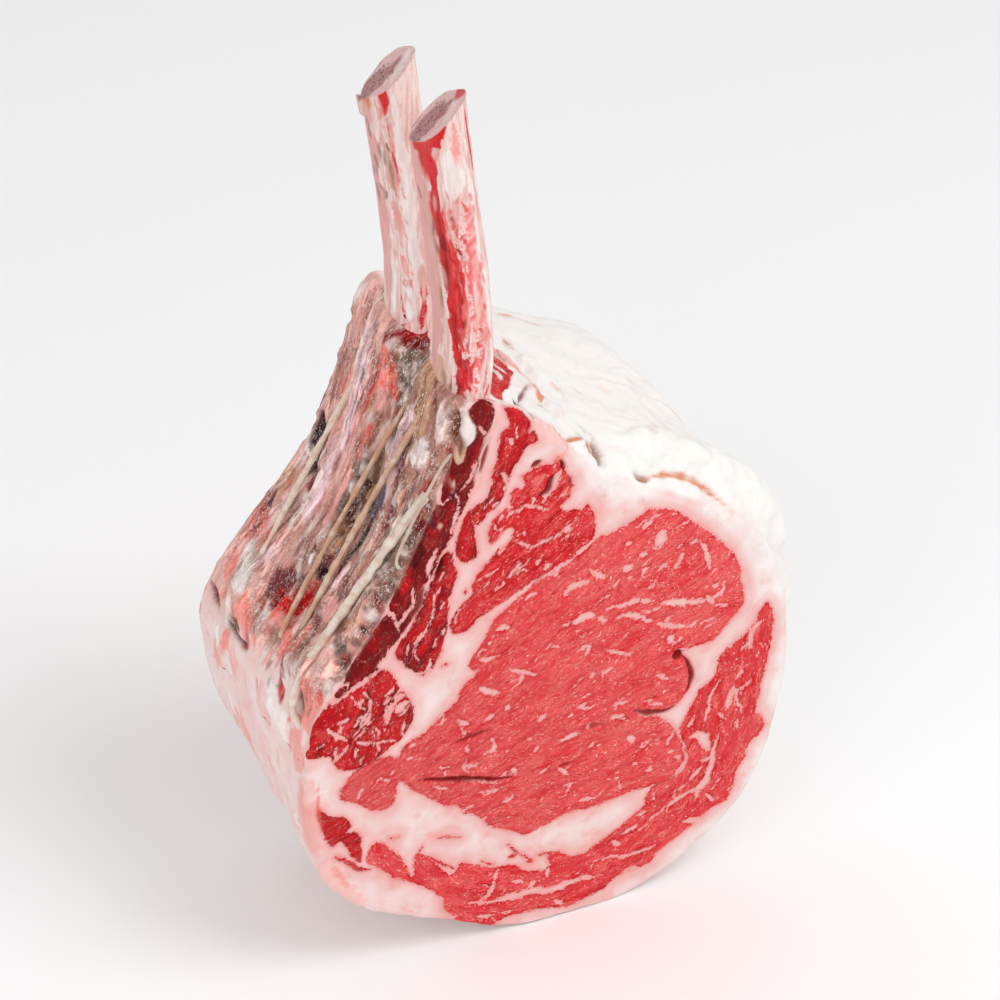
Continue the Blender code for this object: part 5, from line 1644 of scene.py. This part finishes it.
def strand_piece(node):
    """A strand along its route, uneven round and along."""
    radius, route = STRANDS[node]
    curve = even_spacing(smooth_through(route, 16, closed=False), STRAND_STEP, closed=False)
    curve[:, 0] += AXIS_X
    tangent = np.gradient(curve, axis=0)
    tangent /= np.linalg.norm(tangent, axis=1)[:, None]
    flat = np.cross(tangent, (0.0, 1.0, 0.0))
    flat /= np.linalg.norm(flat, axis=1)[:, None]
    other = np.cross(tangent, flat)
    turns = np.linspace(0, math.tau, STRAND_SIDES, endpoint=False)
    seed = 120 + int(node[-1])
    rings = np.array([centre + np.outer(np.cos(turns), side) + np.outer(np.sin(turns), up)
                      for centre, side, up in zip(curve, flat, other)])
    centres = np.repeat(curve, STRAND_SIDES, axis=0)
    outward = rings.reshape(-1, 3) - centres
    size = radius * (0.92 + 0.22 * layered_noise(centres, (5, 5, 5), 2, seed)
                     + 0.20 * noise(centres + 6 * outward, (5, 5, 5), seed + 3))
    points = centres + outward * np.minimum(size, radius * 1.25)[:, None]
    faces = [tuple(f) for f in ring_faces(len(curve), STRAND_SIDES)]
    numbers = tuple(range(len(points)))
    faces += [numbers[:STRAND_SIDES][::-1], numbers[-STRAND_SIDES:]]
    along = np.repeat(lengths_along(curve), STRAND_SIDES)
    return mesh_piece(node + "_sinew", points, faces, {"along": along})


def strand_material(node):
    s = Shading(node)
    spot = s.millimetres()
    colour = srgb(*STRAND_COLOURS[node])
    blotch = s.noise(spot, 3.0, 0.6, scale=0.22)
    fibre = s.noise(s.scaled(spot, (2.4, 2.4, 0.7)), 3.0, 0.6)
    shown = s.mix(s.step(blotch, 0.42, 0.68, 0.0, 0.5), colour, srgb(206, 150, 122))
    shown = s.mix(s.step(blotch, 0.50, 0.30, 0.0, 0.5), shown, srgb(238, 230, 220))
    shade = s.mix(fibre, (0.78, 0.76, 0.74, 1.0), (1.15, 1.15, 1.15, 1.0))
    shown = s.mix(1.0, shown, shade, "MULTIPLY")
    return s.finish(shown, 0.5, fibre, 0.0004, Specular_IOR_Level=0.25)


def bone_material():
    s = Shading("bone")
    spot = s.millimetres()
    tint, pores = s.attribute("tint"), s.attribute("pores").outputs["Fac"]
    lengthwise = s.noise(s.scaled(spot, (0.55, 0.55, 0.07)), 5.0, 0.62, distortion=0.3)
    speckle = s.noise(spot, 3.0, 0.65, scale=0.9)
    fine = s.noise(spot, 2.0, 0.6, scale=2.6)
    bone = s.mix(s.step(lengthwise, 0.35, 0.62), srgb(232, 188, 182), srgb(*COLOURS["bone"]))
    bone = s.mix(s.step(speckle, 0.58, 0.70, 0.0, 0.35), bone, srgb(222, 104, 100))
    grainy = s.plus(s.centred(lengthwise, 0.6),
                    s.plus(s.centred(speckle, 1.2), s.centred(fine, 1.4)))
    cover = s.step(s.plus(tint.outputs["Alpha"], grainy), 0.38, 0.62)
    cover = s.times(cover, s.step(tint.outputs["Alpha"], 0.0, 0.2))
    colour = s.mix(cover, bone, tint.outputs["Color"])
    shade = s.mix(s.step(lengthwise, 0.32, 0.68), (0.90, 0.84, 0.84, 1.0), (1.05, 1.06, 1.06, 1.0))
    colour = s.mix(1.0, colour, shade, "MULTIPLY")
    colour = s.mix(s.step(fine, 0.58, 0.72, 0.0, 0.25), colour, srgb(244, 232, 226))
    holes = s.cells(s.scaled(spot, (0.75, 0.75, 0.75)))
    porous = s.step(s.plus(pores, s.centred(speckle, 1.4)), 0.3, 0.8)
    hole = s.times(s.step(holes, 0.42, 0.18), porous)
    colour = s.mix(hole, colour, srgb(84, 40, 44))
    grit = s.times(s.step(fine, 0.50, 0.62, 0.0, 0.6), porous)
    colour = s.mix(grit, colour, srgb(206, 178, 176))
    height = s.math("SUBTRACT", s.times(fine, 0.5), hole)
    roughness = s.step(speckle, 0.3, 0.7, 0.40, 0.56)
    return s.finish(colour, roughness, height, 0.0005, Specular_IOR_Level=0.25)


def make_ribs():
    material = bone_material()
    for node in RIB_DEPTHS:
        dress(rib_piece(node), material, node)


def make_strands():
    for node in STRANDS:
        dress(strand_piece(node), strand_material(node), node)


# ---- stage --------------------------------------------------------------------------------
TARGET = Vector((0.00055, 0.0010, 0.1659))
AZIMUTH, ELEVATION = math.radians(-25.0), math.radians(32.0)
DISTANCE, LENS = 1.3, 123.2
FLOOR_SIZE = 30.0
SKY_STRENGTH = 0.72


def make_floor():
    mesh = bpy.data.meshes.new("floor")
    corners = [(x * FLOOR_SIZE, y * FLOOR_SIZE, 0) for x, y in ((-1, -1), (1, -1), (1, 1), (-1, 1))]
    mesh.from_pydata(corners, [], [(0, 1, 2, 3)])
    floor = placed("floor", mesh)
    s = Shading("floor")
    mesh.materials.append(s.finish((0.93, 0.93, 0.93, 1.0), 0.7))


def make_light(name, place, size, energy):
    data = bpy.data.lights.new(name, "AREA")
    data.shape = "DISK"
    data.size = size
    data.energy = energy
    light = placed(name, data)
    light.location = place
    light.rotation_mode = "QUATERNION"
    light.rotation_quaternion = (TARGET - Vector(place)).to_track_quat("-Z", "Y")


def make_stage():
    make_floor()
    world = bpy.data.worlds.new("studio")
    world.use_nodes = True
    background = world.node_tree.nodes["Background"]
    background.inputs["Color"].default_value = (1.0, 1.0, 1.0, 1.0)
    background.inputs["Strength"].default_value = SKY_STRENGTH
    bpy.context.scene.world = world
    make_light("key", place=(0.9, -1.1, 1.9), size=1.2, energy=19.0)
    make_light("fill", place=(-1.6, -1.2, 1.0), size=1.6, energy=9.5)
    data = bpy.data.cameras.new("camera")
    data.lens = LENS
    data.sensor_width = 36.0
    data.clip_start, data.clip_end = 0.05, 100.0
    camera = placed("camera", data)
    flat = math.cos(ELEVATION)
    back = Vector((math.sin(AZIMUTH) * flat, -math.cos(AZIMUTH) * flat, math.sin(ELEVATION)))
    camera.location = TARGET + back * DISTANCE
    camera.rotation_mode = "QUATERNION"
    camera.rotation_quaternion = (-back).to_track_quat("-Z", "Y")
    bpy.context.scene.camera = camera
    bpy.context.scene.view_settings.view_transform = "Standard"


make_stage()
make_flesh()
make_ribs()
make_strands()
